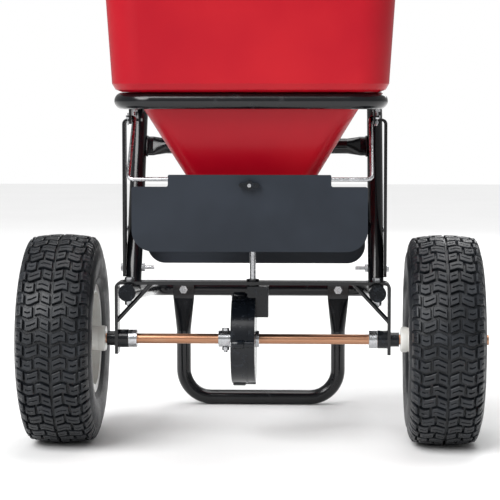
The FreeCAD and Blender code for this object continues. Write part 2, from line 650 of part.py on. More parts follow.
def gate_guides():
    side = box(GATE_HALF_W + SLIDE_GAP, GUIDE_OUT, 0, GUIDE_REAR_Y, GUIDE_BASE_Z, HOPPER_FLOOR_Z)
    lip = box(GATE_HALF_W - 5, GUIDE_OUT, 0, GUIDE_REAR_Y, GUIDE_BASE_Z, LIP_TOP_Z)
    return both_sides(fuse([side, lip])).cut(Part.makeCompound(guide_screw_shanks()))


def gate_plate():
    sheet = box(-GATE_HALF_W, GATE_HALF_W, GATE_FRONT_Y, GATE_REAR_Y, GATE_UNDER_Z, GATE_TOP_Z)
    tab = box(LEVER_X, LEVER_X + LEVER_T, GATE_REAR_Y - 16, GATE_REAR_Y + 12, LINK_PIN_Z - 11, GATE_TOP_Z)
    sag = LEVER_ARM * (1 - math.cos(LEVER_HALF_SWING))
    slot_half = LINK_R + 0.5
    slot = box(LEVER_X, LEVER_X + LEVER_T, GATE_REAR_Y - slot_half, GATE_REAR_Y + slot_half,
               LINK_PIN_Z - sag - slot_half, LINK_PIN_Z + slot_half)
    return fuse([sheet, tab]).cut(slot)


# ------------------------------------------------------------------ impeller
def impeller_shaft():
    shaft = rod(V(0, 0, PINION_Z - 10.5), V(0, 0, HOPPER_FLOOR_Z + 42), SHAFT_R)
    return shaft.cut(Part.makeCompound([agitator_wire(), impeller_pin()]))


AGITATOR_HALF = 34.0
AGITATOR_Z = HOPPER_FLOOR_Z + 34


def agitator_wire():
    corners = [V(-AGITATOR_HALF, 0, AGITATOR_Z + 16), V(-AGITATOR_HALF, 0, AGITATOR_Z),
               V(AGITATOR_HALF, 0, AGITATOR_Z), V(AGITATOR_HALF, 0, AGITATOR_Z + 16)]
    return sweep(corners, 6, 2.0)


def impeller_pin():
    return rod(V(-15, 0, IMPELLER_Z + 12), V(15, 0, IMPELLER_Z + 12), 1.6)


def impeller():
    disc = rod(V(0, 0, IMPELLER_Z), V(0, 0, IMPELLER_Z + 2.5), IMPELLER_R)
    hub = rod(V(0, 0, IMPELLER_Z - 4), V(0, 0, IMPELLER_Z + VANE_H + 6), 14)
    pieces = [disc, hub]
    for i in range(VANE_COUNT):
        vane = box(12, IMPELLER_R - 2, -1.25, 1.25, IMPELLER_Z, IMPELLER_Z + VANE_H)
        vane.rotate(V(0, 0, 0), Z_AXIS, (i + 0.5) * 360 / VANE_COUNT)
        pieces.append(vane)
    bore = rod(V(0, 0, IMPELLER_Z - 4), V(0, 0, IMPELLER_Z + VANE_H + 6), SHAFT_R)
    return fuse(pieces).cut(bore).cut(impeller_pin())


def tooth(root_half, tip_half, height, length):
    """A tooth standing on z = 0, its length along Y."""
    outline = [V(-root_half, -length / 2, -0.5), V(root_half, -length / 2, -0.5),
               V(tip_half, -length / 2, height), V(-tip_half, -length / 2, height), V(-root_half,
                                                                                      -length / 2, -0.5)]
    return Part.Face(Part.makePolygon(outline)).extrude(V(0, length, 0))


def pinion():
    root = PINION_R - TOOTH_HEIGHT / 2 - 0.5
    pieces = [rod(V(0, 0, PINION_Z - PINION_HALF_H), V(0, 0, PINION_Z + PINION_HALF_H), root)]
    for i in range(PINION_TEETH):
        cog = tooth(1.35, 0.7, TOOTH_HEIGHT, 2 * PINION_HALF_H)
        cog.rotate(V(0, 0, 0), X_AXIS, 90)
        cog.rotate(V(0, 0, 0), Z_AXIS, -90)
        cog.translate(V(-root, 0, PINION_Z))
        cog.rotate(V(0, 0, 0), Z_AXIS, i * 360 / PINION_TEETH)
        pieces.append(cog)
    return fuse(pieces).cut(rod(V(0, 0, PINION_Z - 20), V(0, 0, PINION_Z + 20), SHAFT_R))


def crown_gear():
    disc = case_drum(GEAR_FACE_X - GEAR_DISC_T, GEAR_FACE_X, CROWN_R + TOOTH_LENGTH / 2 + 1)
    pieces = [disc.cut(case_drum(GEAR_FACE_X - GEAR_DISC_T, GEAR_FACE_X, GEAR_HUB_R))]
    for i in range(CROWN_TEETH):
        cog = tooth(1.3, 0.7, TOOTH_HEIGHT, TOOTH_LENGTH)
        cog.rotate(V(0, 0, 0), Z_AXIS, 90)
        cog.rotate(V(0, 0, 0), Y_AXIS, 90)
        cog.translate(V(GEAR_FACE_X, 0, 0))
        pieces.append(cog_at(cog, (i + 0.5) * 360 / CROWN_TEETH))
    return fuse(pieces)


def cog_at(cog, degrees):
    placed = cog.copy()
    placed.translate(V(0, 0, AXLE_Z + CROWN_R))
    placed.rotate(V(0, 0, AXLE_Z), X_AXIS, degrees)
    return placed


def gear_hub():
    return case_drum(GEAR_HUB_LEFT, GEAR_FACE_X, GEAR_HUB_R).cut(axle_line(AXLE_R)).cut(hub_bolt_shank())


def hub_bolt_shank():
    x = GEAR_HUB_LEFT + 11
    return rod(V(x, 0, AXLE_Z - 21), V(x, 0, AXLE_Z + GEAR_HUB_R), 3.0)


def gear_hub_bolt():
    x = GEAR_HUB_LEFT + 11
    head = hexagon(V(x, 0, AXLE_Z + GEAR_HUB_R), Z_AXIS, 10, 4)
    return Part.makeCompound([hub_bolt_shank().fuse(head), nut(V(x, 0, AXLE_Z - GEAR_HUB_R), -Z_AXIS,
                                                               3.0, 10, 5)])


# ------------------------------------------------------------------ axle and wheels
def axle():
    holes = both_sides(axle_pin_shank()).Solids + [hub_bolt_shank(), drive_pin()]
    return axle_line(AXLE_R).cut(Part.makeCompound(holes))


def axle_collars():
    collar = ring(V(COLLAR_OUTER - COLLAR_W, 0, AXLE_Z), V(COLLAR_OUTER, 0, AXLE_Z), COLLAR_R, AXLE_R)
    return both_sides(collar)


def axle_washers():
    start = CASE_RIGHT + 0.3
    thrust = ring(V(start, 0, AXLE_Z), V(start + 5, 0, AXLE_Z), GEAR_HUB_R, AXLE_R)
    face = TRACK_HALF + HUB_OUTER + 0.3
    outer = ring(V(face, 0, AXLE_Z), V(face + 2, 0, AXLE_Z), 15, AXLE_R)
    return Part.makeCompound([thrust, outer, mirrored(outer)])


def axle_pin_shank():
    x = AXLE_END - 5.5
    return rod(V(x, 0, AXLE_Z - 13), V(x, 0, AXLE_Z + 13), 1.6)


def axle_pins():
    x = AXLE_END - 5.5
    loop = Part.makeTorus(4.0, 1.2, V(x, 0, AXLE_Z + 16.5), X_AXIS)
    return both_sides(axle_pin_shank().fuse(loop))


def drive_pin():
    x = TRACK_HALF + HUB_OUTER - 8
    return rod(V(x, 0, AXLE_Z - HUB_R - 2), V(x, 0, AXLE_Z + HUB_R + 2), 2.4)


def turned_profile(points, centre_x):
    """Revolves an outline given as (distance across, radius) about the axle."""
    ring_points = [V(centre_x + across, 0, AXLE_Z + radius) for across, radius in points]
    face = Part.Face(Part.makePolygon(ring_points + ring_points[:1]))
    return face.revolve(V(centre_x, 0, AXLE_Z), X_AXIS, 360)


def wheel_rim(side):
    w = RIM_HALF_W
    t = RIM_T
    half = [(w, BEAD_R + 10), (w, BEAD_R - t), (w - 20, BEAD_R - t), (w - 27, 62), (0, 62)]
    inner_half = [(0, 62 + t), (w - 26, 62 + t), (w - 19, BEAD_R), (w - t, BEAD_R), (w - t, BEAD_R + 10)]
    left_under = [(-a, r) for a, r in reversed(half)][1:]
    left_over = [(-a, r) for a, r in reversed(inner_half)][:-1]
    shell = turned_profile(half + left_under + left_over + inner_half, side * TRACK_HALF)
    disc = turned_profile([(-1.5, HUB_R - 1), (1.5, HUB_R - 1), (1.5, 63), (-1.5, 63)], side * TRACK_HALF)
    inner = side * (TRACK_HALF - HUB_INNER)
    outer = side * (TRACK_HALF + HUB_OUTER)
    hub = rod(V(inner, 0, AXLE_Z), V(outer, 0, AXLE_Z), HUB_R)
    fit = 0.0 if side > 0 else RUN_GAP
    body = fuse([shell, disc, hub]).cut(axle_line(AXLE_R + fit)).cut(valve_stem(side))
    return body.cut(drive_pin()) if side > 0 else body


def valve_stem(side):
    x = side * TRACK_HALF
    return rod(V(x + side * 27, 0, AXLE_Z + 67), V(x + side * 48, 0, AXLE_Z + 50), 3.4)


def tyre(side):
    centre_x = side * TRACK_HALF
    w = TYRE_HALF_W
    seat = RIM_HALF_W - RIM_T

    def at(across, radius):
        return V(centre_x + across, 0, AXLE_Z + radius)

    def mirror_at(across, radius):
        return at(-across, radius)

    tread_edge = TYRE_R - 4.5
    edges = []
    for place in (at, mirror_at):
        edges.append(Part.LineSegment(place(seat, BEAD_R), place(seat, BEAD_R + 10.2)).toShape())
        edges.append(Part.Arc(place(seat, BEAD_R + 10.2), place(w, BEAD_R + 46),
                              place(w - 4, TYRE_R - 16)).toShape())
        edges.append(Part.Arc(place(w - 4, TYRE_R - 16), place(w - 6.5, TYRE_R - 8),
                              place(w - 12, tread_edge)).toShape())
        edges.append(Part.LineSegment(place(seat, BEAD_R), place(seat - 12, BEAD_R)).toShape())
        edges.append(Part.Arc(place(seat - 12, BEAD_R), place(w - 8, BEAD_R + 44),
                              place(w - 18, TYRE_R - 14)).toShape())
    edges.append(Part.Arc(at(w - 12, tread_edge), at(0, TYRE_R), at(12 - w, tread_edge)).toShape())
    edges.append(Part.Arc(at(w - 18, TYRE_R - 14), at(0, TYRE_R - 9.5), at(18 - w, TYRE_R - 14)).toShape())
    face = Part.Face(Part.Wire(Part.__sortEdges__(edges)))
    return face.revolve(V(centre_x, 0, AXLE_Z), X_AXIS, 360)


# ------------------------------------------------------------------ bail, deflector and shield
def bail():
    corners = [V(-BAIL_HALF - 13, BAIL_PIVOT_Y, BAIL_PIVOT_Z), V(-BAIL_HALF, BAIL_PIVOT_Y, BAIL_PIVOT_Z),
               V(-BAIL_HALF, BAIL_ROD_Y, BAIL_ROD_Z), V(BAIL_HALF, BAIL_ROD_Y, BAIL_ROD_Z),
               V(BAIL_HALF, BAIL_PIVOT_Y, BAIL_PIVOT_Z), V(BAIL_HALF + 13, BAIL_PIVOT_Y, BAIL_PIVOT_Z)]
    wire = sweep(corners, [0, 4.0, 9.0, 9.0, 4.0, 0], BAIL_WIRE_R)
    return wire.cut(both_sides(bail_cotter_shank()))


def bail_cotter_shank():
    x = BAIL_HALF + 10
    return rod(V(x, BAIL_PIVOT_Y, BAIL_PIVOT_Z - 7), V(x, BAIL_PIVOT_Y, BAIL_PIVOT_Z + 7), 0.9)


def bail_cotters():
    x = BAIL_HALF + 10
    loop = Part.makeTorus(2.2, 0.8, V(x, BAIL_PIVOT_Y, BAIL_PIVOT_Z - 9), X_AXIS)
    return both_sides(bail_cotter_shank().fuse(loop))


def bail_rod_room(radius):
    return rod(V(-BAIL_HALF, BAIL_ROD_Y, BAIL_ROD_Z), V(BAIL_HALF, BAIL_ROD_Y, BAIL_ROD_Z), radius)


def knob_shank():
    z = BAIL_ROD_Z - KNOB_DROP
    return rod(V(0, PANEL_BACK_Y - PANEL_T - 12, z), V(0, BAIL_ROD_Y + 9, z), 2.9)


def deflector_panel():
    y = PANEL_BACK_Y - PANEL_T
    tab_top = BAIL_ROD_Z + 7
    outline = [V(-PANEL_HALF, y, PANEL_BOTTOM_Z), V(PANEL_HALF, y, PANEL_BOTTOM_Z),
               V(PANEL_HALF, y, PANEL_TOP_Z),
               V(PANEL_TAB_HALF, y, PANEL_TOP_Z), V(PANEL_TAB_HALF, y, tab_top), V(-PANEL_TAB_HALF, y,
                                                                                   tab_top),
               V(-PANEL_TAB_HALF, y, PANEL_TOP_Z), V(-PANEL_HALF, y, PANEL_TOP_Z)]
    sheet = plate(outline, [32, 32, 4, 3, 2, 2, 3, 4], V(0, PANEL_T, 0))
    knuckles = []
    for x in (-PANEL_TAB_HALF + 18, PANEL_TAB_HALF - 18):
        barrel = rod(V(x - 14, BAIL_ROD_Y, BAIL_ROD_Z), V(x + 14, BAIL_ROD_Y, BAIL_ROD_Z), 6.0)
        web = box(x - 14, x + 14, PANEL_BACK_Y, BAIL_ROD_Y, BAIL_ROD_Z - 6, BAIL_ROD_Z + 6)
        knuckles.append(fuse([barrel, web]).cut(bail_rod_room(BAIL_WIRE_R + RUN_GAP)))
    return fuse([sheet] + knuckles).cut(bail_rod_room(BAIL_WIRE_R + RUN_GAP)).cut(knob_shank_room())


def knob_shank_room():
    z = BAIL_ROD_Z - KNOB_DROP
    return rod(V(0, PANEL_BACK_Y - PANEL_T - 12, z), V(0, BAIL_ROD_Y + 9, z), 2.9 + RUN_GAP)


def deflector_clamp():
    block = box(-14, 14, PANEL_BACK_Y, BAIL_ROD_Y + 7, BAIL_ROD_Z - KNOB_DROP - 7, BAIL_ROD_Z + 6)
    return block.cut(bail_rod_room(BAIL_WIRE_R + RUN_GAP)).cut(knob_shank_room())


def wing_knob():
    z = BAIL_ROD_Z - KNOB_DROP
    face = PANEL_BACK_Y - PANEL_T - SLIDE_GAP
    boss = rod(V(0, face - 10, z), V(0, face, z), 7.2)
    wings = [V(-15.5, face - 9, z - 4), V(15.5, face - 9, z - 4), V(15.5, face - 9, z + 4),
             V(-15.5, face - 9, z + 4)]
    return fuse([boss, plate(wings, 3.9, V(0, 7, 0))]).cut(knob_shank())


def rear_shield():
    half = FRAME_HALF - TUBE_R - 3.3
    y = SHIELD_Y
    outline = [V(-half, y, SHIELD_BOTTOM_Z), V(half, y, SHIELD_BOTTOM_Z), V(half, y, SHIELD_TOP_Z),
               V(-half, y, SHIELD_TOP_Z)]
    sheet = plate(outline, [30, 30, 8, 8], V(0, 3, 0))
    bolt_y = leg_y(SHIELD_BOLT_Z)
    flange = box(half - 3, half, bolt_y - 10, y + 1.5, SHIELD_BOLT_Z - 14, SHIELD_BOLT_Z + 14)
    flange = flange.cut(shield_bolt_hole())
    return fuse([sheet, flange, mirrored(flange)])


def shield_bolt_hole():
    y = leg_y(SHIELD_BOLT_Z)
    return rod(V(FRAME_HALF - TUBE_R - 9, y, SHIELD_BOLT_Z), V(FRAME_HALF + TUBE_R, y, SHIELD_BOLT_Z), 2.5)


def shield_screws():
    y = leg_y(SHIELD_BOLT_Z)
    inner = FRAME_HALF - TUBE_R - 3.3
    spacer = ring(V(inner, y, SHIELD_BOLT_Z), V(inner + 3.2, y, SHIELD_BOLT_Z), 6, 2.5)
    inside = nut(V(inner - 3, y, SHIELD_BOLT_Z), -X_AXIS, 2.5, 8, 4)
    head = hexagon(V(FRAME_HALF + TUBE_R, y, SHIELD_BOLT_Z), X_AXIS, 8, 3.5)
    return Part.makeCompound([both_sides(s) for s in (spacer, inside, shield_bolt_hole().fuse(head))])


# ------------------------------------------------------------------ handle and control
def handle_bolt_places():
    return [V(FRAME_HALF, y, handle_z(y)) for y in (HANDLE_START_Y + 20, SIDE_TUBE_END_Y - 20)]


def handle_bolt_holes():
    shanks = [rod(V(HANDLE_HALF - TUBE_R - 7, p.y, p.z), V(FRAME_HALF + TUBE_R, p.y, p.z), 3.5)
              for p in handle_bolt_places()]
    return Part.makeCompound(shanks)


def handle_bolts():
    solids = []
    for shank, place in zip(handle_bolt_holes().Solids, handle_bolt_places()):
        head = hexagon(V(FRAME_HALF + TUBE_R, place.y, place.z), X_AXIS, 12, 4.5)
        solids.append(shank.fuse(head))
        solids.append(nut(V(HANDLE_HALF - TUBE_R, place.y, place.z), -X_AXIS, 3.5, 12, 5))
    return Part.makeCompound([both_sides(s) for s in solids])


def upper_handle():
    start = V(HANDLE_HALF, HANDLE_START_Y, handle_z(HANDLE_START_Y))
    top = V(HANDLE_HALF, HANDLE_TOP_Y, handle_z(HANDLE_TOP_Y))
    corners = [V(-start.x, start.y, start.z), V(-top.x, top.y, top.z), top, start]
    return tube(corners, HANDLE_BEND).cut(both_sides_of(handle_bolt_holes()))


def both_sides_of(compound):
    return Part.makeCompound([both_sides(s) for s in compound.Solids])


def handle_grips():
    inner = 28.0
    outer = HANDLE_HALF - HANDLE_BEND - 4
    return both_sides(ring(V(inner, BAR_CENTRE.y, BAR_CENTRE.z), V(outer, BAR_CENTRE.y, BAR_CENTRE.z),
                           16.5, TUBE_R))


PLATE_X = LEVER_X - SIDE_GAP - 3.0


def disc_at(centre, x0, x1, radius):
    return rod(V(x0, centre.y, centre.z), V(x1, centre.y, centre.z), radius)


def stop_centre(turn):
    """Centre of the rate stop; turn is measured from its foremost place."""
    angle = LEVER_HALF_SWING + math.radians(15.5) - turn
    return LEVER_PIVOT + V(0, -math.sin(angle), math.cos(angle)) * STOP_RADIUS


def lever_bracket():
    x0 = PLATE_X
    x1 = PLATE_X + 3.0
    low = V(x0, LEVER_PIVOT.y - 14, LEVER_PIVOT.z - 16)
    outline = [low, V(x0, BAR_CENTRE.y + 10, LEVER_PIVOT.z - 16), V(x0, BAR_CENTRE.y + 16, BAR_CENTRE.z + 18),
               V(x0, LEVER_PIVOT.y + 10, LEVER_PIVOT.z + STOP_RADIUS + 14),
               V(x0, LEVER_PIVOT.y - 42, LEVER_PIVOT.z + STOP_RADIUS + 4)]
    sheet = plate(outline, [12, 12, 14, 12, 10], V(3.0, 0, 0))
    sleeve = ring(V(x0 - 8, BAR_CENTRE.y, BAR_CENTRE.z), V(x1, BAR_CENTRE.y, BAR_CENTRE.z), TUBE_R + 3,
                  TUBE_R)
    bar_room = disc_at(BAR_CENTRE, x0 - 8, x1, TUBE_R)
    inner = disc_at(LEVER_PIVOT, x0, x1, STOP_RADIUS - 3.3)
    band = disc_at(LEVER_PIVOT, x0, x1, STOP_RADIUS + 3.3).cut(inner)
    wedge_points = [V(x0, LEVER_PIVOT.y, LEVER_PIVOT.z)]
    for turn in (0, STOP_SWING / 2, STOP_SWING):
        wedge_points.append(LEVER_PIVOT + (stop_centre(turn) - LEVER_PIVOT) * 1.6 + V(x0, 0, 0))
    wedge = Part.Face(Part.makePolygon(wedge_points + wedge_points[:1])).extrude(V(3.0, 0, 0))
    slot = [band.common(wedge), disc_at(stop_centre(0), x0, x1, 3.3), disc_at(stop_centre(STOP_SWING),
                                                                              x0, x1, 3.3)]
    body = fuse([sheet, sleeve]).cut(bar_room).cut(slot[0]).cut(slot[1]).cut(slot[2])
    return body.cut(disc_at(LEVER_PIVOT, x0, x1, 3.9))


def lever_pivot_bolt():
    right = LEVER_X + LEVER_T + SLIDE_GAP
    shank = disc_at(LEVER_PIVOT, PLATE_X - 6, right, 3.9)
    head = hexagon(V(right, LEVER_PIVOT.y, LEVER_PIVOT.z), X_AXIS, 11, 3.0)
    back = hexagon(V(PLATE_X, LEVER_PIVOT.y, LEVER_PIVOT.z), -X_AXIS, 12, 5)
    return fuse([shank, head, back])


def control_lever():
    top = LEVER_PIVOT + LEVER_DIR * LEVER_LENGTH
    low = LINK_TOP - LEVER_DIR * 8
    across = V(0, LEVER_DIR.z, -LEVER_DIR.y) * 7.5
    x = V(LEVER_X, 0, 0)
    bar = plate([low - across + x, low + across + x, top + across + x, top - across + x], 7.4,
                V(LEVER_T, 0, 0))
    bar = bar.cut(disc_at(LEVER_PIVOT, LEVER_X, LEVER_X + LEVER_T, 3.9 + RUN_GAP))
    return bar.cut(disc_at(LINK_TOP, LEVER_X, LEVER_X + LEVER_T, LINK_R + RUN_GAP))


def lever_knob():
    top = LEVER_PIVOT + LEVER_DIR * (LEVER_LENGTH - 12)
    centre = V(LEVER_X + LEVER_T / 2, top.y, top.z)
    tip = centre + LEVER_DIR * 30
    grip = rod(centre, tip, 10).fuse(Part.makeSphere(10, tip)).fuse(Part.makeSphere(10, centre))
    return grip.removeSplitter().cut(control_lever())


def rate_stop():
    centre = stop_centre(0)
    pin = disc_at(centre, PLATE_X - 6, LEVER_X + LEVER_T - 0.5, 3.0)
    knob = disc_at(centre, PLATE_X - SLIDE_GAP - 8, PLATE_X - SLIDE_GAP, 8)
    return pin.fuse(knob).removeSplitter()


def gate_link():
    low = V(LINK_X, GATE_REAR_Y, LINK_PIN_Z)
    high = V(LINK_X, LINK_TOP.y, LINK_TOP.z)
    reach = V(LEVER_X - 2.0 - LINK_X, 0, 0)
    return sweep([low + reach, low, high, high + reach], 4.5, LINK_R)


# ------------------------------------------------------------------ export
def sub_parts():
    return {
        "lower_frame": lower_frame(), "frame_end_caps": frame_end_caps(),
        "side_tube_right": side_tube(), "side_tube_left": mirrored(side_tube()),
        "hopper_hoop": hopper_hoop(), "hoop_strap_right": hoop_strap(), "hoop_strap_left": mirrored(hoop_strap()),
        "strap_bolts": strap_bolts(), "cross_brace": cross_brace(), "stand": stand(), "stand_bolts": stand_bolts(),
        "axle_bracket": axle_bracket(), "bracket_braces": bracket_braces(), "bracket_bolts": bracket_bolts(),
        "axle_bushes": axle_bushes(), "gear_case": gear_case(), "gear_case_cover": gear_case_cover(),
        "gear_case_screws": gear_case_screws(), "shaft_bushes": shaft_bushes(),
        "hopper": hopper(), "hopper_screws": hopper_screws(), "gate_guides": gate_guides(),
        "gate_plate": gate_plate(), "impeller_shaft": impeller_shaft(), "agitator": agitator_wire(),
        "impeller_pin": impeller_pin(), "impeller": impeller(),
        "pinion": pinion(), "crown_gear": crown_gear(), "gear_hub": gear_hub(), "gear_hub_bolt": gear_hub_bolt(),
        "axle": axle(), "axle_collars": axle_collars(), "axle_washers": axle_washers(), "axle_pins": axle_pins(),
        "drive_pin": drive_pin(), "wheel_rim_right": wheel_rim(1), "wheel_rim_left": wheel_rim(-1),
        "tyre_right": tyre(1), "tyre_left": tyre(-1), "valve_right": valve_stem(1), "valve_left": valve_stem(-1),
        "bail": bail(), "bail_cotters": bail_cotters(), "deflector_panel": deflector_panel(),
        "deflector_clamp": deflector_clamp(), "wing_knob": wing_knob(), "knob_screw": knob_shank(),
        "rear_shield": rear_shield(), "shield_screws": shield_screws(), "upper_handle": upper_handle(),
        "handle_bolts": handle_bolts(), "handle_grips": handle_grips(), "lever_bracket": lever_bracket(),
        "lever_pivot_bolt": lever_pivot_bolt(), "control_lever": control_lever(), "lever_knob": lever_knob(),
        "rate_stop": rate_stop(), "gate_link": gate_link()}


def export_all():
    parts = sub_parts()
    whole = FreeCAD.BoundBox()
    for shape in parts.values():
        whole.add(shape.optimalBoundingBox(False))
    to_origin = V(0, -(whole.YMin + whole.YMax) / 2, 0)
    os.makedirs("parts", exist_ok=True)
    for name, shape in parts.items():
        moved = shape.copy()
        moved.translate(to_origin)
        moved.exportStep("parts/" + name + ".step")
    print("axle at Y", round(to_origin.y, 4), "nodes", len(parts), "box", whole)
    print("lever pivot", LEVER_PIVOT, "link top", LINK_TOP, "gate travel", GATE_TRAVEL)


export_all()
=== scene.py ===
import json
import math

import bmesh
import bpy
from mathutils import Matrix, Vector


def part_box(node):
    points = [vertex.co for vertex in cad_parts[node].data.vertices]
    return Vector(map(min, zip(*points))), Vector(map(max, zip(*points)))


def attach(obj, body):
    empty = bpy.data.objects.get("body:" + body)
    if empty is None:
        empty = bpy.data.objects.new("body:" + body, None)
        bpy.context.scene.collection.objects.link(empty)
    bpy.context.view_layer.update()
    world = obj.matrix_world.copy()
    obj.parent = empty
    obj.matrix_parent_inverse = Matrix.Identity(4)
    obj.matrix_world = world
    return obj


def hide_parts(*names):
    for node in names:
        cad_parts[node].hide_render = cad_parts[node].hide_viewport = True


bl_info = {
    "name": "Garden Spreader",
    "version": (1, 0, 0),
    "blender": (4, 5, 0),
    "location": "View3D > Sidebar > Spreader",
    "description": "Finishes, tyres and studio for a walk-behind garden spreader",
    "category": "Object",
}

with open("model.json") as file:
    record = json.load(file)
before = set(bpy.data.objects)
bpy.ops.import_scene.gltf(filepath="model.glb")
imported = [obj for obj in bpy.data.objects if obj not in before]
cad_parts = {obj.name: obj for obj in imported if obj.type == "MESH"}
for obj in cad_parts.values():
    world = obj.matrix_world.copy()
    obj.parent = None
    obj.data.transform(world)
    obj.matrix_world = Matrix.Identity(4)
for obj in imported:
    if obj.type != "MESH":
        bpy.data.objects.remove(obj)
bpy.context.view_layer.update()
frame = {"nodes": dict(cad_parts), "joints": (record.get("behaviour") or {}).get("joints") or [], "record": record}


# ------------------------------------------------------------------ shader maths
class Signal:
    """A shader socket that can be used in ordinary arithmetic."""

    def __init__(self, tree, socket):
        self.tree = tree
        self.socket = socket

    def node(self, kind, settings=None, output=0, **inputs):
        """Adds a node, applies its settings, then sets or links its sockets."""
        made = self.tree.nodes.new(kind)
        for key, value in (settings or {}).items():
            setattr(made, key, value)
        for key, value in inputs.items():
            name = int(key[1:]) if key[1:].isdigit() else key.replace("_", " ")
            if isinstance(value, Signal):
                self.tree.links.new(value.socket, made.inputs[name])
            else:
                made.inputs[name].default_value = value
        return Signal(self.tree, made.outputs[output])

    def math(self, operation, a, b=0.0):
        return self.node("ShaderNodeMath", {"operation": operation}, i0=a, i1=b)

    def __add__(self, other):
        return self.math("ADD", self, other)

    __radd__ = __add__

    def __mul__(self, other):
        return self.math("MULTIPLY", self, other)

    __rmul__ = __mul__

    def between(self, low, high):
        """0 below low, 1 above high, smooth in the middle."""
        return self.node("ShaderNodeMapRange", {"interpolation_type": "SMOOTHSTEP", "clamp": True},
                         Value=self, From_Min=low, From_Max=high)

    def noise(self, scale, detail=4.0, roughness=0.55):
        return self.node("ShaderNodeTexNoise", None, 0, Vector=self, Scale=scale, Detail=detail,
                         Roughness=roughness)

    def blend(self, first, second):
        """Mixes two colours by this value."""
        made = self.tree.nodes.new("ShaderNodeMix")
        made.data_type = "RGBA"
        self.tree.links.new(self.socket, made.inputs[0])
        for socket, value in ((made.inputs[6], first), (made.inputs[7], second)):
            if isinstance(value, Signal):
                self.tree.links.new(value.socket, socket)
            else:
                socket.default_value = (*value, 1.0)
        return Signal(self.tree, made.outputs[2])

    def part(self, axis):
        split = self.tree.nodes.new("ShaderNodeSeparateXYZ")
        self.tree.links.new(self.socket, split.inputs[0])
        return Signal(self.tree, split.outputs[axis])


class Finish:
    """A principled material under construction."""

    def __init__(self, name, **constants):
        self.material = bpy.data.materials.new(name)
        self.material.use_nodes = True
        self.tree = self.material.node_tree
        self.shader = next(n for n in self.tree.nodes if n.type == "BSDF_PRINCIPLED")
        for key, value in constants.items():
            self.shader.inputs[key.replace("_", " ")].default_value = value
        place = self.tree.nodes.new("ShaderNodeTexCoord")
        self.place = Signal(self.tree, place.outputs["Object"])

    def drive(self, socket, signal):
        self.tree.links.new(signal.socket, self.shader.inputs[socket])

    def bump(self, height, distance, strength=1.0):
        made = self.tree.nodes.new("ShaderNodeBump")
        made.inputs["Strength"].default_value = strength
        made.inputs["Distance"].default_value = distance
        self.tree.links.new(height.socket, made.inputs["Height"])
        self.tree.links.new(made.outputs[0], self.shader.inputs["Normal"])


# ------------------------------------------------------------------ finishes
def black_powder_coat(colour):
    """Gloss black coat on steel: faint orange peel, a little dust, soft scuffs."""
    finish = Finish("gloss_black_coat", Coat_Weight=0.25, Coat_Roughness=0.06, Specular_IOR_Level=0.35)
    peel = finish.place.noise(420.0, 2.0)
    scuff = finish.place.noise(26.0, 6.0, 0.7).between(0.56, 0.75)
    finish.drive("Base Color", scuff.blend(colour, [c * 1.7 + 0.006 for c in colour]))
    finish.drive("Roughness", scuff * 0.16 + 0.2)
    finish.bump(peel, 0.0002, 0.35)
    return finish.material


def satin_moulded_plastic(colour):
    """Moulded black plastic: a fine grain, slight sheen, cloudy tone."""
    finish = Finish("satin_black_plastic", Specular_IOR_Level=0.3)
    grain = finish.place.noise(1500.0, 2.0)
    cloud = finish.place.noise(9.0, 3.0).between(0.35, 0.7)
    finish.drive("Base Color", cloud.blend(colour, [c * 1.35 for c in colour]))
    finish.drive("Roughness", cloud * 0.1 + grain * 0.12 + 0.33)
    finish.bump(grain, 0.00015, 0.4)
    return finish.material


def red_tub_plastic(colour):
    """Glossy red hopper: deep colour, faint flow marks, fine scratches."""
    finish = Finish("gloss_red_plastic", Coat_Weight=0.05, Coat_Roughness=0.12, Specular_IOR_Level=0.22)
    flow = finish.place.noise(5.0, 3.0).between(0.3, 0.75)
    ripple = finish.place.noise(38.0, 2.0)
    scratch = finish.place.noise(160.0, 5.0, 0.75).between(0.6, 0.74)
    finish.drive("Base Color", flow.blend(colour, [colour[0] * 1.18, colour[1] + 0.004, colour[2] * 1.25]))
    finish.drive("Roughness", scratch * 0.14 + flow * 0.06 + 0.3)
    finish.bump(ripple, 0.0006, 0.22)
    return finish.material


def bright_zinc(colour):
    """Zinc plate: cloudy crystals and drawn lines in the brightness."""
    finish = Finish("bright_zinc", Metallic=1.0)
    crystals = finish.place.noise(210.0, 4.0, 0.6).between(0.35, 0.7)
    dull = finish.place.noise(40.0, 4.0).between(0.45, 0.75)
    finish.drive("Base Color", crystals.blend([c * 0.72 for c in colour], colour))
    finish.drive("Roughness", dull * 0.2 + crystals * 0.08 + 0.2)
    finish.bump(crystals, 0.0001, 0.3)
    return finish.material


def gold_zinc(colour):
    """Yellow chromate on the drawn axle: copper and gold streaks along it."""
    finish = Finish("gold_zinc_axle", Metallic=1.0)
    stretched = finish.place.node("ShaderNodeMapping", None, 0, Vector=finish.place, Scale=(3.0, 60.0, 60.0))
    streak = stretched.noise(8.0, 5.0, 0.65).between(0.3, 0.72)
    grain = stretched.noise(60.0, 3.0)
    finish.drive("Base Color", streak.blend(colour, [colour[0] * 1.12, colour[1] * 1.35, colour[2] * 1.5]))
    finish.drive("Roughness", grain * 0.2 + 0.2)
    finish.bump(grain, 0.0001, 0.35)
    return finish.material


def tyre_compound(colour):
    """Tread rubber: matt, mottled, greyer where the mould left its bloom."""
    finish = Finish("tyre_compound", Specular_IOR_Level=0.4)
    bloom = finish.place.noise(34.0, 6.0, 0.65).between(0.4, 0.72)
    pores = finish.place.noise(900.0, 3.0, 0.7)
    finish.drive("Base Color", bloom.blend(colour, [c * 1.8 + 0.004 for c in colour]))
    finish.drive("Roughness", bloom * 0.16 + 0.38)
    finish.bump(pores, 0.0004, 0.5)
    return finish.material


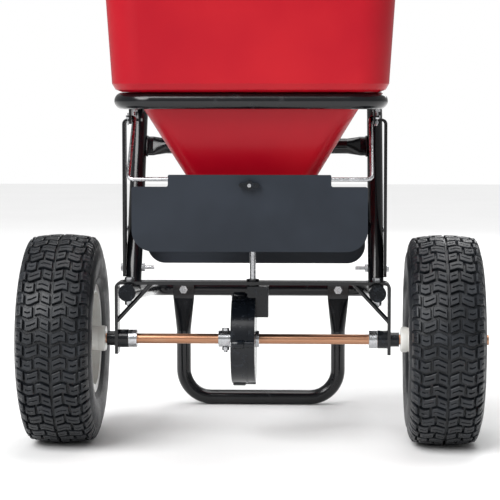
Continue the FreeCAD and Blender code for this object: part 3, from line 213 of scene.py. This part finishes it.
def grip_foam(colour):
    """Closed foam and rubber mouldings: matt with open pores."""
    finish = Finish("black_foam_rubber", Specular_IOR_Level=0.3)
    cells = finish.place.noise(1100.0, 3.0, 0.8)
    wear = finish.place.noise(22.0, 4.0).between(0.45, 0.75)
    finish.drive("Base Color", wear.blend(colour, [c * 1.8 + 0.01 for c in colour]))
    finish.drive("Roughness", cells * 0.12 + 0.72)
    finish.bump(cells, 0.0006, 0.7)
    return finish.material


def white_enamel(colour):
    """White stoved enamel on the wheel: dusty in places, a hint of cream."""
    finish = Finish("white_enamel", Coat_Weight=0.3, Coat_Roughness=0.15)
    dust = finish.place.noise(30.0, 5.0, 0.65).between(0.5, 0.8)
    peel = finish.place.noise(500.0, 2.0)
    finish.drive("Base Color", dust.blend(colour, [colour[0] * 0.84, colour[1] * 0.8, colour[2] * 0.74]))
    finish.drive("Roughness", dust * 0.25 + 0.28)
    finish.bump(peel, 0.0002, 0.3)
    return finish.material


def machined_steel(colour):
    """Cut gear steel: fine tool marks and an oily unevenness."""
    finish = Finish("machined_steel", Metallic=1.0)
    marks = finish.place.noise(700.0, 3.0)
    oil = finish.place.noise(45.0, 4.0).between(0.4, 0.7)
    finish.drive("Base Color", oil.blend(colour, [c * 0.7 for c in colour]))
    finish.drive("Roughness", marks * 0.2 + oil * 0.1 + 0.22)
    finish.bump(marks, 0.0001, 0.4)
    return finish.material


def hard_black_plastic(colour):
    """Hard black mouldings: blacker than the deflector, with handling marks."""
    finish = Finish("hard_black_plastic", Coat_Weight=0.15, Coat_Roughness=0.1, Specular_IOR_Level=0.3)
    marks = finish.place.noise(120.0, 5.0, 0.7).between(0.5, 0.75)
    finish.drive("Base Color", marks.blend([c * 0.35 for c in colour], colour))
    finish.drive("Roughness", marks * 0.18 + 0.22)
    finish.bump(finish.place.noise(700.0, 2.0), 0.0001, 0.3)
    return finish.material


FINISH_MAKERS = {
    "frame_black": black_powder_coat, "black_plastic": satin_moulded_plastic, "red_plastic": red_tub_plastic,
    "zinc": bright_zinc, "gold_zinc": gold_zinc, "tyre_rubber": tyre_compound, "black_rubber": grip_foam,
    "wheel_white": white_enamel, "gear_steel": machined_steel,
}
DISC_RIBS = 8
DISC_HALF = 1.2            # half the wheel disc's thickness, in millimetres, as are the sizes below
DISC_RIB_REACH = 13
DISC_RIB_HALF = 1.4
DISC_RIB_INNER = 18
DISC_RIB_OUTER = 61.5
CUFF_FACE = 66.8
CUFF_BORE = 10.5
CUFF_R = 20.2
CUFF_LENGTH = 11
CASE_RIBS = 12
CASE_BOSSES = 4
CASE_SEAM_R = 70.2
CASE_RING_R = 67.6
CASE_BOSS_R = 6.6
CASE_BOSS_BORE = 1.7
CASE_BOSS_CIRCLE = 68.0
RIM_BEAD_R = 1.5
HOPPER_CORNER = 59
WELD_R = 1.7
WELD_POINTS = 28
WELD_RIPPLES = 11
WELD_HALF_HEIGHT = 17.4
WELD_HALF_WIDTH = 5.6
BRACE_LEAN = 25            # degrees
RATE_MARKS = 10
RATE_MARK_STEP = 4         # degrees
RATE_FIRST_MARK = 33
RATE_MARK_R = 49.5
HARD_BLACK_NODES = ("wing_knob", "lever_knob", "frame_end_caps", "gear_case", "gear_case_cover",
                    "axle_bushes", "shaft_bushes")
finishes = {}

# ------------------------------------------------------------------ places read from the frame
MM = 0.001
TREAD_PITCHES = 25
GROOVE_DEPTH = 5.5 * MM
SIPE_DEPTH = 2.4 * MM
BLOCK_CHAMFER = 0.8 * MM
GROOVE_FLARE = 0.9 * MM    # how much wider a block is at its foot, each side
SIPE_END = 3.4 * MM        # solid rubber beyond each end of a sipe
SIPE_STEP = 4.2 * MM
WAVE_LENGTH = 34.0         # of the zigzag across the tread, in millimetres
WAVE_HEIGHT = 3.6
CROWN_HALF = 46.5          # the flatter middle of the tread, in millimetres
CROWN_DROP = 4.5
SHOULDER_CURVE = 0.19
BEAD_TO_TREAD = 88.9 * MM
SIPE_HALF = 1.5 * MM
ROW_GROOVE = 5.4 * MM


def centre_of(node):
    low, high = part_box(node)
    return (Vector(low) + Vector(high)) / 2


def size_of(node):
    low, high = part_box(node)
    return Vector(high) - Vector(low)


def mesh_piece(name, bm, material, body):
    """Turns a bmesh into a finished piece that rides on a body."""
    mesh = bpy.data.meshes.new(name)
    bm.to_mesh(mesh)
    bm.free()
    mesh.materials.append(material)
    piece = bpy.data.objects.new(name, mesh)
    bpy.context.scene.collection.objects.link(piece)
    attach(piece, body)
    return piece


def shade(piece, degrees=35.0):
    """Smooth shading with edges kept crisp past an angle."""
    mesh = piece.data
    mesh.shade_smooth()
    mesh.set_sharp_from_angle(angle=math.radians(degrees))


def spin_closed(bm, outline, centre, segments, axis="X"):
    """Revolves a closed outline of (along the axis, radius) pairs into a closed ring."""
    rings = []
    for i in range(segments):
        turn = 2 * math.pi * i / segments
        a = math.cos(turn)
        b = math.sin(turn)
        places = {"X": lambda u, r: (u, r * a, r * b), "Z": lambda u, r: (r * a, r * b, u),
                  "Y": lambda u, r: (r * b, u, r * a)}[axis]
        rings.append([bm.verts.new(centre + Vector(places(u, r))) for u, r in outline])
    count = len(outline)
    faces = []
    for i in range(segments):
        here = rings[i]
        after = rings[(i + 1) % segments]
        for j in range(count):
            k = (j + 1) % count
            faces.append(bm.faces.new((here[j], here[k], after[k], after[j])))
    bmesh.ops.recalc_face_normals(bm, faces=faces)


# ------------------------------------------------------------------ tyre and tread
def crown(across, radius):
    """Tread surface radius at a distance from the tyre's middle, both in metres."""
    side = abs(across) / MM
    if side <= CROWN_HALF:
        return radius - CROWN_DROP * MM * (side / CROWN_HALF) ** 2
    return radius - (CROWN_DROP + SHOULDER_CURVE * (side - CROWN_HALF) ** 2) * MM


def zigzag(across):
    """The wave that every row of blocks follows."""
    half = WAVE_LENGTH / 2
    phase = (abs(across) / MM) % WAVE_LENGTH
    return WAVE_HEIGHT * (1 - 2 * abs(phase - half) / half) * MM


def tread_block(bm, low, high, middle, half, radius):
    """One block of rubber from low to high across the tread, with chamfered edges and a closed-ended sipe."""
    rim = BLOCK_CHAMFER
    inside = SIPE_END
    sipe = high - low - 2 * inside
    count = max(1, round(sipe / SIPE_STEP))
    stations = [(low, rim, 0.0), (low + rim, 0.0, 0.0), (low + inside - rim, 0.0, 0.0)]
    stations += [(low + inside + sipe * i / count, 0.0, SIPE_DEPTH) for i in range(count + 1)]
    stations += [(high - inside + rim, 0.0, 0.0), (high - rim, 0.0, 0.0), (high, rim, 0.0)]
    rows = []
    for across, drop, cut in stations:
        top = crown(across, radius)
        wave = middle + zigzag(across)
        base = (half + GROOVE_FLARE, top - GROOVE_DEPTH - 1.0 * MM)
        face = top - drop
        profile = [base, (half, top - rim), (half - rim, face), (SIPE_HALF, face), (0.0, face - cut)]
        both = [(-along, level) for along, level in profile] + profile[-2::-1]
        turned = [((wave + along) / radius, level) for along, level in both]
        places = [(across, level * math.sin(turn), level * math.cos(turn)) for turn, level in turned]
        rows.append([bm.verts.new(place) for place in places])
    size = len(rows[0])
    for here, after in zip(rows, rows[1:]):
        for i in range(size):
            j = (i + 1) % size
            bm.faces.new((here[i], here[j], after[j], after[i]))
    bm.faces.new(rows[0])
    bm.faces.new(rows[-1][::-1])


def tread_pitch(radius):
    """One repeat of the pattern, at the top of a wheel centred on the origin: two rows of siped blocks."""
    bm = bmesh.new()
    pitch = 2 * math.pi * radius / TREAD_PITCHES
    row_a = [(1.6, 15.4), (19.0, 38.6), (42.0, 55.0)]
    row_b = [(2.6, 23.8), (27.6, 42.4), (45.6, 55.0)]
    half = pitch / 4 - ROW_GROOVE / 2
    for middle, spans in ((-pitch / 4, row_a), (pitch / 4, row_b)):
        sides = [(low, high) for low, high in spans] + [(-high, -low) for low, high in spans]
        for low, high in sides:
            tread_block(bm, low * MM, high * MM, middle, half, radius)
    bmesh.ops.recalc_face_normals(bm, faces=bm.faces)
    return source_from(bm, "tread_pitch")


def source_from(bm, name):
    """An object that only the ring tree reads."""
    mesh = bpy.data.meshes.new(name)
    bm.to_mesh(mesh)
    bm.free()
    source = bpy.data.objects.new(name + "_source", mesh)
    bpy.context.scene.collection.objects.link(source)
    return source


def ring_tree(name, material):
    """Geometry Nodes: copies of a source set out evenly about the X axis through a centre."""
    tree = bpy.data.node_groups.new(name, "GeometryNodeTree")
    face = tree.interface
    face.new_socket("Geometry", in_out="INPUT", socket_type="NodeSocketGeometry")
    sockets = {"Source": face.new_socket("Source", in_out="INPUT", socket_type="NodeSocketObject"),
               "Copies": face.new_socket("Copies", in_out="INPUT", socket_type="NodeSocketInt"),
               "Centre": face.new_socket("Centre", in_out="INPUT", socket_type="NodeSocketVector")}
    face.new_socket("Geometry", in_out="OUTPUT", socket_type="NodeSocketGeometry")
    nodes = tree.nodes
    link = tree.links.new
    entry = nodes.new("NodeGroupInput")
    leave = nodes.new("NodeGroupOutput")
    points = nodes.new("GeometryNodePoints")
    index = nodes.new("GeometryNodeInputIndex")
    share = nodes.new("ShaderNodeMath")
    share.operation = "DIVIDE"
    turn = nodes.new("ShaderNodeMath")
    turn.operation = "MULTIPLY"
    turn.inputs[1].default_value = 2 * math.pi
    spin = nodes.new("ShaderNodeCombineXYZ")
    info = nodes.new("GeometryNodeObjectInfo")
    place = nodes.new("GeometryNodeInstanceOnPoints")
    real = nodes.new("GeometryNodeRealizeInstances")
    paint = nodes.new("GeometryNodeSetMaterial")
    paint.inputs["Material"].default_value = material
    link(entry.outputs["Copies"], points.inputs["Count"])
    link(entry.outputs["Centre"], points.inputs["Position"])
    link(index.outputs[0], share.inputs[0])
    link(entry.outputs["Copies"], share.inputs[1])
    link(share.outputs[0], turn.inputs[0])
    link(turn.outputs[0], spin.inputs["X"])
    link(entry.outputs["Source"], info.inputs["Object"])
    link(points.outputs[0], place.inputs["Points"])
    link(info.outputs["Geometry"], place.inputs["Instance"])
    link(spin.outputs[0], place.inputs["Rotation"])
    link(place.outputs[0], real.inputs[0])
    link(real.outputs[0], paint.inputs["Geometry"])
    link(paint.outputs[0], leave.inputs[0])
    return tree, {key: socket.identifier for key, socket in sockets.items()}


def ring_of(name, source, copies, centre, material):
    """Runs the ring tree and returns its result as a plain mesh object."""
    tree, keys = ring_tree(name + "_tree", material)
    carrier = bpy.data.objects.new(name + "_carrier", bpy.data.meshes.new(name + "_carrier"))
    bpy.context.scene.collection.objects.link(carrier)
    modifier = carrier.modifiers.new("ring", "NODES")
    modifier.node_group = tree
    modifier[keys["Source"]] = source
    modifier[keys["Copies"]] = copies
    modifier[keys["Centre"]] = centre
    bpy.context.view_layer.update()
    evaluated = carrier.evaluated_get(bpy.context.evaluated_depsgraph_get())
    mesh = bpy.data.meshes.new_from_object(evaluated)
    mesh.name = name
    bpy.data.objects.remove(carrier)
    bpy.data.objects.remove(source)
    piece = bpy.data.objects.new(name, mesh)
    bpy.context.scene.collection.objects.link(piece)
    return piece


def carcass_outline(radius, half_width, bead):
    """The casing under the tread: (across, radius) all the way round its section."""
    stations = [across * MM for across in (-46, -34, -20, 0, 20, 34, 46)]
    groove = [(across, crown(across, radius) - GROOVE_DEPTH) for across in stations]
    top = radius / MM
    seat = bead / MM
    widest = half_width / MM
    wall = [(53.2, top - 17), (56.8, top - 27), (57.6, top - 28.4), (57.6, top - 30.4),
            (widest - 0.2, top - 32), (widest - 0.1, top - 46), (57.2, top - 58), (54.6, top - 68),
            (55.2, top - 69), (54.4, top - 71),
            (51.0, top - 76), (47.6, seat + 9.5), (47.4, seat + 0.2)]
    right = [(across * MM, r * MM) for across, r in wall]
    left = [(-across, r) for across, r in reversed(right)]
    return left + groove + right


def build_tyre(side, material):
    node = "tyre_" + side
    body = "axle_set" if side == "right" else "free_wheel"
    centre = centre_of(node)
    size = size_of(node)
    radius = size.z / 2
    bead = radius - BEAD_TO_TREAD
    bm = bmesh.new()
    spin_closed(bm, carcass_outline(radius, size.x / 2, bead), centre, 160)
    casing = mesh_piece("tyre_casing_" + side, bm, material, body)
    shade(casing, 40)
    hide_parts(node)
    tread = ring_of("tread_" + side, tread_pitch(radius), TREAD_PITCHES, centre, material)
    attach(tread, body)
    return casing, tread


# ------------------------------------------------------------------ small mouldings and welds
def block(bm, low, high):
    """A closed box between two corners."""
    places = [(x, y, z) for x in (low[0], high[0]) for y in (low[1], high[1]) for z in (low[2], high[2])]
    corners = [bm.verts.new(place) for place in places]
    quads = ((0, 1, 3, 2), (4, 6, 7, 5), (0, 4, 5, 1), (2, 3, 7, 6), (0, 2, 6, 4), (1, 5, 7, 3))
    faces = [bm.faces.new([corners[i] for i in quad]) for quad in quads]
    bmesh.ops.recalc_face_normals(bm, faces=faces)


def rib_source(low, high):
    bm = bmesh.new()
    block(bm, low, high)
    bmesh.ops.bevel(bm, geom=list(bm.edges), offset=0.35 * MM, segments=1, affect="EDGES")
    return source_from(bm, "rib")


def ring_ribs(name, low, high, copies, centre, material, body):
    """Radial ribs set out round the axle; low and high are the top rib's corners from the centre."""
    piece = ring_of(name, rib_source(low, high), copies, centre, material)
    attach(piece, body)
    return piece


def turned_piece(name, outline, centre, axis, material, body, segments=64):
    """A closed ring turned about an axis; the outline is (along, radius) in millimetres."""
    bm = bmesh.new()
    spin_closed(bm, [(u * MM, r * MM) for u, r in outline], centre, segments, axis)
    piece = mesh_piece(name, bm, material, body)
    shade(piece)
    return piece


def bead_path(points, radius, name, material, body, closed=True):
    """A round bead swept along points, made a mesh."""
    curve = bpy.data.curves.new(name, "CURVE")
    curve.dimensions = "3D"
    curve.bevel_depth = radius
    curve.bevel_resolution = 3
    spline = curve.splines.new("POLY")
    spline.points.add(len(points) - 1)
    for target, place in zip(spline.points, points):
        target.co = (*place, 1.0)
    spline.use_cyclic_u = closed
    carrier = bpy.data.objects.new(name + "_curve", curve)
    bpy.context.scene.collection.objects.link(carrier)
    mesh = bpy.data.meshes.new_from_object(carrier)
    bpy.data.objects.remove(carrier)
    mesh.materials.clear()
    mesh.materials.append(material)
    piece = bpy.data.objects.new(name, mesh)
    bpy.context.scene.collection.objects.link(piece)
    shade(piece, 60)
    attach(piece, body)
    return piece


def rounded_loop(half_x, half_y, corner, centre, steps=10):
    """Points round a rounded rectangle lying flat."""
    points = []
    for i, (sx, sy) in enumerate(((1, 1), (-1, 1), (-1, -1), (1, -1))):
        hub = centre + Vector((sx * (half_x - corner), sy * (half_y - corner), 0))
        for j in range(steps + 1):
            angle = math.pi / 2 * (i + j / steps)
            points.append(hub + Vector((corner * math.cos(angle), corner * math.sin(angle), 0)))
    return points


def joint_place(name):
    return Vector(next(j for j in frame["joints"] if j["name"] == name)["pos_m"])


# ------------------------------------------------------------------ what a user may change
class SpreaderSettings(bpy.types.PropertyGroup):
    tub_colour: bpy.props.FloatVectorProperty(
        name="Hopper", description="Colour of the moulded hopper", subtype="COLOR", size=3,
        default=(0.36, 0.001, 0.010), min=0, max=1)
    frame_colour: bpy.props.FloatVectorProperty(
        name="Frame", description="Powder coat on the tubes", subtype="COLOR", size=3,
        default=(0.004, 0.0045, 0.006), min=0, max=1)
    plastic_colour: bpy.props.FloatVectorProperty(
        name="Black plastic", description="Deflector, gear case and bushes", subtype="COLOR", size=3,
        default=(0.011, 0.015, 0.022), min=0, max=1)
    zinc_colour: bpy.props.FloatVectorProperty(
        name="Zinc", description="Bright zinc hardware", subtype="COLOR", size=3,
        default=(0.62, 0.63, 0.65), min=0, max=1)
    axle_colour: bpy.props.FloatVectorProperty(
        name="Axle", description="Yellow zinc on the axle", subtype="COLOR", size=3,
        default=(0.44, 0.21, 0.12), min=0, max=1)
    tyre_colour: bpy.props.FloatVectorProperty(
        name="Tyre", description="Tyre rubber", subtype="COLOR", size=3,
        default=(0.006, 0.0075, 0.010), min=0, max=1)
    rubber_colour: bpy.props.FloatVectorProperty(
        name="Grips", description="Foam grips and valve stems", subtype="COLOR", size=3,
        default=(0.012, 0.012, 0.013), min=0, max=1)
    wheel_colour: bpy.props.FloatVectorProperty(
        name="Wheel", description="Enamel on the wheel rims", subtype="COLOR", size=3,
        default=(0.78, 0.78, 0.75), min=0, max=1)
    gear_colour: bpy.props.FloatVectorProperty(
        name="Gears", description="Cut steel gears", subtype="COLOR", size=3,
        default=(0.40, 0.40, 0.42), min=0, max=1)
    room_light: bpy.props.FloatProperty(
        name="Room light", description="Brightness of the white room in reflections", default=0.35,
        min=0, max=2)
    sun_light: bpy.props.FloatProperty(
        name="Sun light", description="Strength of the soft main light", default=3.0, min=0, max=10)
    lens: bpy.props.FloatProperty(
        name="Lens", description="Focal length of the studio camera", default=137.4, min=20, max=300,
        subtype="DISTANCE_CAMERA")


SLOT_COLOURS = {"frame_black": "frame_colour", "black_plastic": "plastic_colour", "red_plastic": "tub_colour",
                "zinc": "zinc_colour", "gold_zinc": "axle_colour", "tyre_rubber": "tyre_colour",
                "black_rubber": "rubber_colour", "wheel_white": "wheel_colour", "gear_steel": "gear_colour"}


class SPREADER_OT_finishes(bpy.types.Operator):
    """Give every design part its finish"""
    bl_idname = "spreader.finishes"
    bl_label = "Finishes"

    def execute(self, context):
        settings = context.scene.spreader
        for slot, maker in FINISH_MAKERS.items():
            finishes[slot] = maker(list(getattr(settings, SLOT_COLOURS[slot])))
        for entry in frame["record"]["subparts"]:
            part = frame["nodes"][entry["node"]]
            for place in part.material_slots:
                place.material = finishes[entry["material_slot"]]
        finishes["hard_black"] = hard_black_plastic(list(settings.plastic_colour))
        for node in HARD_BLACK_NODES:
            for place in frame["nodes"][node].material_slots:
                place.material = finishes["hard_black"]
        return {"FINISHED"}


class SPREADER_OT_tyres(bpy.types.Operator):
    """Build both tyres with their turf tread"""
    bl_idname = "spreader.tyres"
    bl_label = "Tyres"

    def execute(self, context):
        for side in ("left", "right"):
            build_tyre(side, finishes["tyre_rubber"])
        return {"FINISHED"}


class SPREADER_OT_wheel_details(bpy.types.Operator):
    """Ribs on the wheel discs and cuffs on the hubs"""
    bl_idname = "spreader.wheel_details"
    bl_label = "Wheel details"

    def execute(self, context):
        for side, sign, body in (("left", -1, "free_wheel"), ("right", 1, "axle_set")):
            middle = centre_of("tyre_" + side)
            for face in (-1, 1):
                ends = (face * DISC_HALF, face * DISC_RIB_REACH)
                low = (min(ends) * MM, -DISC_RIB_HALF * MM, DISC_RIB_INNER * MM)
                high = (max(ends) * MM, DISC_RIB_HALF * MM, DISC_RIB_OUTER * MM)
                name = "disc_ribs_" + side + ("_inner" if face * sign < 0 else "_outer")
                ring_ribs(name, low, high, DISC_RIBS, middle, finishes["wheel_white"], body)
            inner = -sign * CUFF_FACE
            outer = inner + sign * CUFF_LENGTH
            cuff = [(inner, CUFF_BORE), (inner, CUFF_R - 2.2), (inner + sign * 2, CUFF_R),
                    (outer - sign * 2, CUFF_R), (outer, CUFF_R - 1.2), (outer, CUFF_BORE)]
            turned_piece("hub_cuff_" + side, cuff, middle, "X", finishes["wheel_white"], body)
        return {"FINISHED"}


class SPREADER_OT_gear_case_details(bpy.types.Operator):
    """Stiffening ribs, edge rings, parting bead and screw bosses of the gear case"""
    bl_idname = "spreader.gear_case_details"
    bl_label = "Gear case details"

    def execute(self, context):
        low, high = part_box("gear_case")
        axle = centre_of("axle")
        left = low[0]
        split = high[0]
        plastic = finishes["hard_black"]
        hub = Vector((0, axle.y, axle.z))
        rib_low = (left - 1.6 * MM, -1.2 * MM, 15 * MM)
        rib_high = (left + 0.5 * MM, 1.2 * MM, 64 * MM)
        ring_ribs("gear_case_ribs", rib_low, rib_high, CASE_RIBS, hub, plastic, "frame")
        case_left = left / MM
        case_split = split / MM
        seam = [(case_split - 1.5, 68.0), (case_split - 1.5, CASE_SEAM_R), (case_split + 1.5, CASE_SEAM_R),
                (case_split + 1.5, 68.0)]
        turned_piece("gear_case_seam", seam, hub, "X", plastic, "frame", 96)
        rim = [(case_left - 1.4, 64.0), (case_left - 1.4, CASE_RING_R), (case_left + 0.4, CASE_RING_R + 1.0),
               (case_left + 0.4, 64.0)]
        turned_piece("gear_case_rim", rim, hub, "X", plastic, "frame", 96)
        boss = [(case_left, CASE_BOSS_BORE), (case_left, CASE_BOSS_R - 1.2), (case_left + 1.2, CASE_BOSS_R),
                (case_split - 4.2, CASE_BOSS_R), (case_split - 3.0, CASE_BOSS_R - 1.2),
                (case_split - 3.0, CASE_BOSS_BORE)]
        bm = bmesh.new()
        spin_closed(bm, [(u * MM, r * MM) for u, r in boss], Vector((0, 0, CASE_BOSS_CIRCLE * MM)), 24)
        bosses = ring_of("gear_case_bosses", source_from(bm, "boss"), CASE_BOSSES, hub, plastic)
        shade(bosses, 50)
        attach(bosses, "frame")
        return {"FINISHED"}


class SPREADER_OT_hopper_details(bpy.types.Operator):
    """Rolled bead round the hopper's rim"""
    bl_idname = "spreader.hopper_details"
    bl_label = "Hopper details"

    def execute(self, context):
        low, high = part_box("hopper")
        middle = centre_of("hopper")
        half_x = (high[0] - low[0]) / 2
        half_y = (high[1] - low[1]) / 2
        edge = Vector((middle.x, middle.y, high[2] - 9.0 * MM))
        loop = rounded_loop(half_x - 1.6 * MM, half_y - 1.6 * MM, HOPPER_CORNER * MM, edge)
        bead_path(loop, RIM_BEAD_R * MM, "hopper_rim_bead", finishes["red_plastic"], "frame")
        return {"FINISHED"}


class SPREADER_OT_welds(bpy.types.Operator):
    """Weld beads round both ends of the cross brace"""
    bl_idname = "spreader.welds"
    bl_label = "Welds"

    def execute(self, context):
        brace = centre_of("cross_brace")
        reach = size_of("cross_brace").x / 2 - 1.6 * MM
        lean = math.radians(BRACE_LEAN)
        up = Vector((0, math.sin(lean), math.cos(lean)))
        over = Vector((0, math.cos(lean), -math.sin(lean)))
        for sign, side in ((-1, "left"), (1, "right")):
            points = []
            for i in range(WELD_POINTS):
                angle = 2 * math.pi * i / WELD_POINTS
                wave = 0.35 * MM * math.sin(angle * WELD_RIPPLES)
                high = up * (WELD_HALF_HEIGHT * MM + wave) * math.cos(angle)
                wide = over * (WELD_HALF_WIDTH * MM + wave) * math.sin(angle)
                points.append(brace + Vector((sign * (reach - 0.8 * MM), 0, 0)) + high + wide)
            black = finishes["frame_black"]
            bead_path(points, WELD_R * MM, "brace_weld_" + side, black, "frame")
        return {"FINISHED"}


class SPREADER_OT_scale(bpy.types.Operator):
    """Raised rate marks beside the stop's slot"""
    bl_idname = "spreader.scale"
    bl_label = "Rate scale"

    def execute(self, context):
        pivot = joint_place("lever_swing")
        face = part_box("control_lever")[0][0] - 3.5 * MM
        bm = bmesh.new()
        for i in range(RATE_MARKS):
            angle = math.radians(RATE_FIRST_MARK - RATE_MARK_STEP * i)
            out = Vector((0, -math.sin(angle), math.cos(angle)))
            across = Vector((0, math.cos(angle), math.sin(angle)))
            start = RATE_MARK_R * MM
            end = (RATE_MARK_R + (5.0 if i % 3 else 6.5)) * MM
            corners = []
            for depth in (0.4 * MM, -0.5 * MM):
                for radius, edge in ((start, -1), (start, 1), (end, 1), (end, -1)):
                    place = pivot + out * radius + across * edge * 0.5 * MM
                    corners.append(bm.verts.new((face + depth, place.y, place.z)))
            quads = ((0, 1, 2, 3), (7, 6, 5, 4), (0, 4, 5, 1), (1, 5, 6, 2), (2, 6, 7, 3), (3, 7, 4, 0))
            for quad in quads:
                bm.faces.new([corners[j] for j in quad])
        bmesh.ops.recalc_face_normals(bm, faces=bm.faces)
        mesh_piece("rate_scale_marks", bm, finishes["wheel_white"], "frame")
        return {"FINISHED"}


class SPREADER_OT_stage(bpy.types.Operator):
    """Pale floor, soft studio lights and the camera"""
    bl_idname = "spreader.stage"
    bl_label = "Stage"

    def execute(self, context):
        scene = context.scene
        settings = scene.spreader
        axle = centre_of("axle")
        bm = bmesh.new()
        reach = 9.0
        block(bm, (-reach, -reach, -0.06), (reach, reach, 0.0))
        mesh = bpy.data.meshes.new("floor")
        bm.to_mesh(mesh)
        bm.free()
        floor = bpy.data.objects.new("floor", mesh)
        scene.collection.objects.link(floor)
        paper = Finish("floor_paper")
        mottle = paper.place.noise(3.0, 3.0)
        paper.drive("Base Color", mottle.blend((0.86, 0.86, 0.86), (0.9, 0.9, 0.9)))
        paper.drive("Roughness", mottle * 0.1 + 0.75)
        mesh.materials.append(paper.material)
        world = bpy.data.worlds.new("studio")
        scene.world = world
        world.use_nodes = True
        sky = world.node_tree.nodes["Background"]
        sky.inputs["Color"].default_value = (1, 1, 1, 1)
        path = world.node_tree.nodes.new("ShaderNodeLightPath")
        seen = Signal(world.node_tree, path.outputs["Is Camera Ray"])
        strength = seen * (1.0 - settings.room_light) + settings.room_light
        world.node_tree.links.new(strength.socket, sky.inputs["Strength"])
        scene.view_settings.view_transform = "Standard"
        for name, kind, place, size, power in (
                ("key_sun", "SUN", (-1.3, -1.9, 2.7), math.radians(40), settings.sun_light),
                ("front_light", "AREA", (-1.8, -3.6, 1.9), 1.6, 34),
                ("top_light", "AREA", (0.3, 0.2, 3.4), 2.2, 60),
                ("back_light", "AREA", (1.2, 3.4, 2.2), 2.0, 40)):
            lamp = bpy.data.lights.new(name, kind)
            if kind == "SUN":
                lamp.angle = size
            else:
                lamp.size = size
            lamp.energy = power
            holder = bpy.data.objects.new(name, lamp)
            holder.location = place
            aim = Vector((0, 0, 0.4)) - Vector(place)
            holder.rotation_euler = aim.to_track_quat("-Z", "Y").to_euler()
            scene.collection.objects.link(holder)
        camera_data = bpy.data.cameras.new("camera")
        camera_data.lens = settings.lens
        camera = bpy.data.objects.new("camera", camera_data)
        camera.location = (0.112, axle.y - 3.0, 0.542)
        view = Vector((-0.0388, 1.0, -0.0786))
        camera.rotation_euler = view.to_track_quat("-Z", "Y").to_euler()
        scene.collection.objects.link(camera)
        scene.camera = camera
        return {"FINISHED"}


class SPREADER_PT_panel(bpy.types.Panel):
    """Lists the spreader's building steps"""
    bl_idname = "SPREADER_PT_panel"
    bl_label = "Garden Spreader"
    bl_space_type = "VIEW_3D"
    bl_region_type = "UI"
    bl_category = "Spreader"

    def draw(self, context):
        for name in SpreaderSettings.__annotations__:
            self.layout.prop(context.scene.spreader, name)
        for step in STEPS:
            self.layout.operator(step.bl_idname)


STEPS = (SPREADER_OT_finishes, SPREADER_OT_tyres, SPREADER_OT_wheel_details, SPREADER_OT_gear_case_details,
         SPREADER_OT_hopper_details, SPREADER_OT_welds, SPREADER_OT_scale, SPREADER_OT_stage)
CLASSES = (SpreaderSettings,) + STEPS + (SPREADER_PT_panel,)


def register():
    for item in CLASSES:
        bpy.utils.register_class(item)
    bpy.types.Scene.spreader = bpy.props.PointerProperty(type=SpreaderSettings)


def unregister():
    del bpy.types.Scene.spreader
    for item in reversed(CLASSES):
        bpy.utils.unregister_class(item)


def main():
    register()
    for step in STEPS:
        group, name = step.bl_idname.split(".")
        getattr(getattr(bpy.ops, group), name)()


if __name__ == "__main__":
    main()
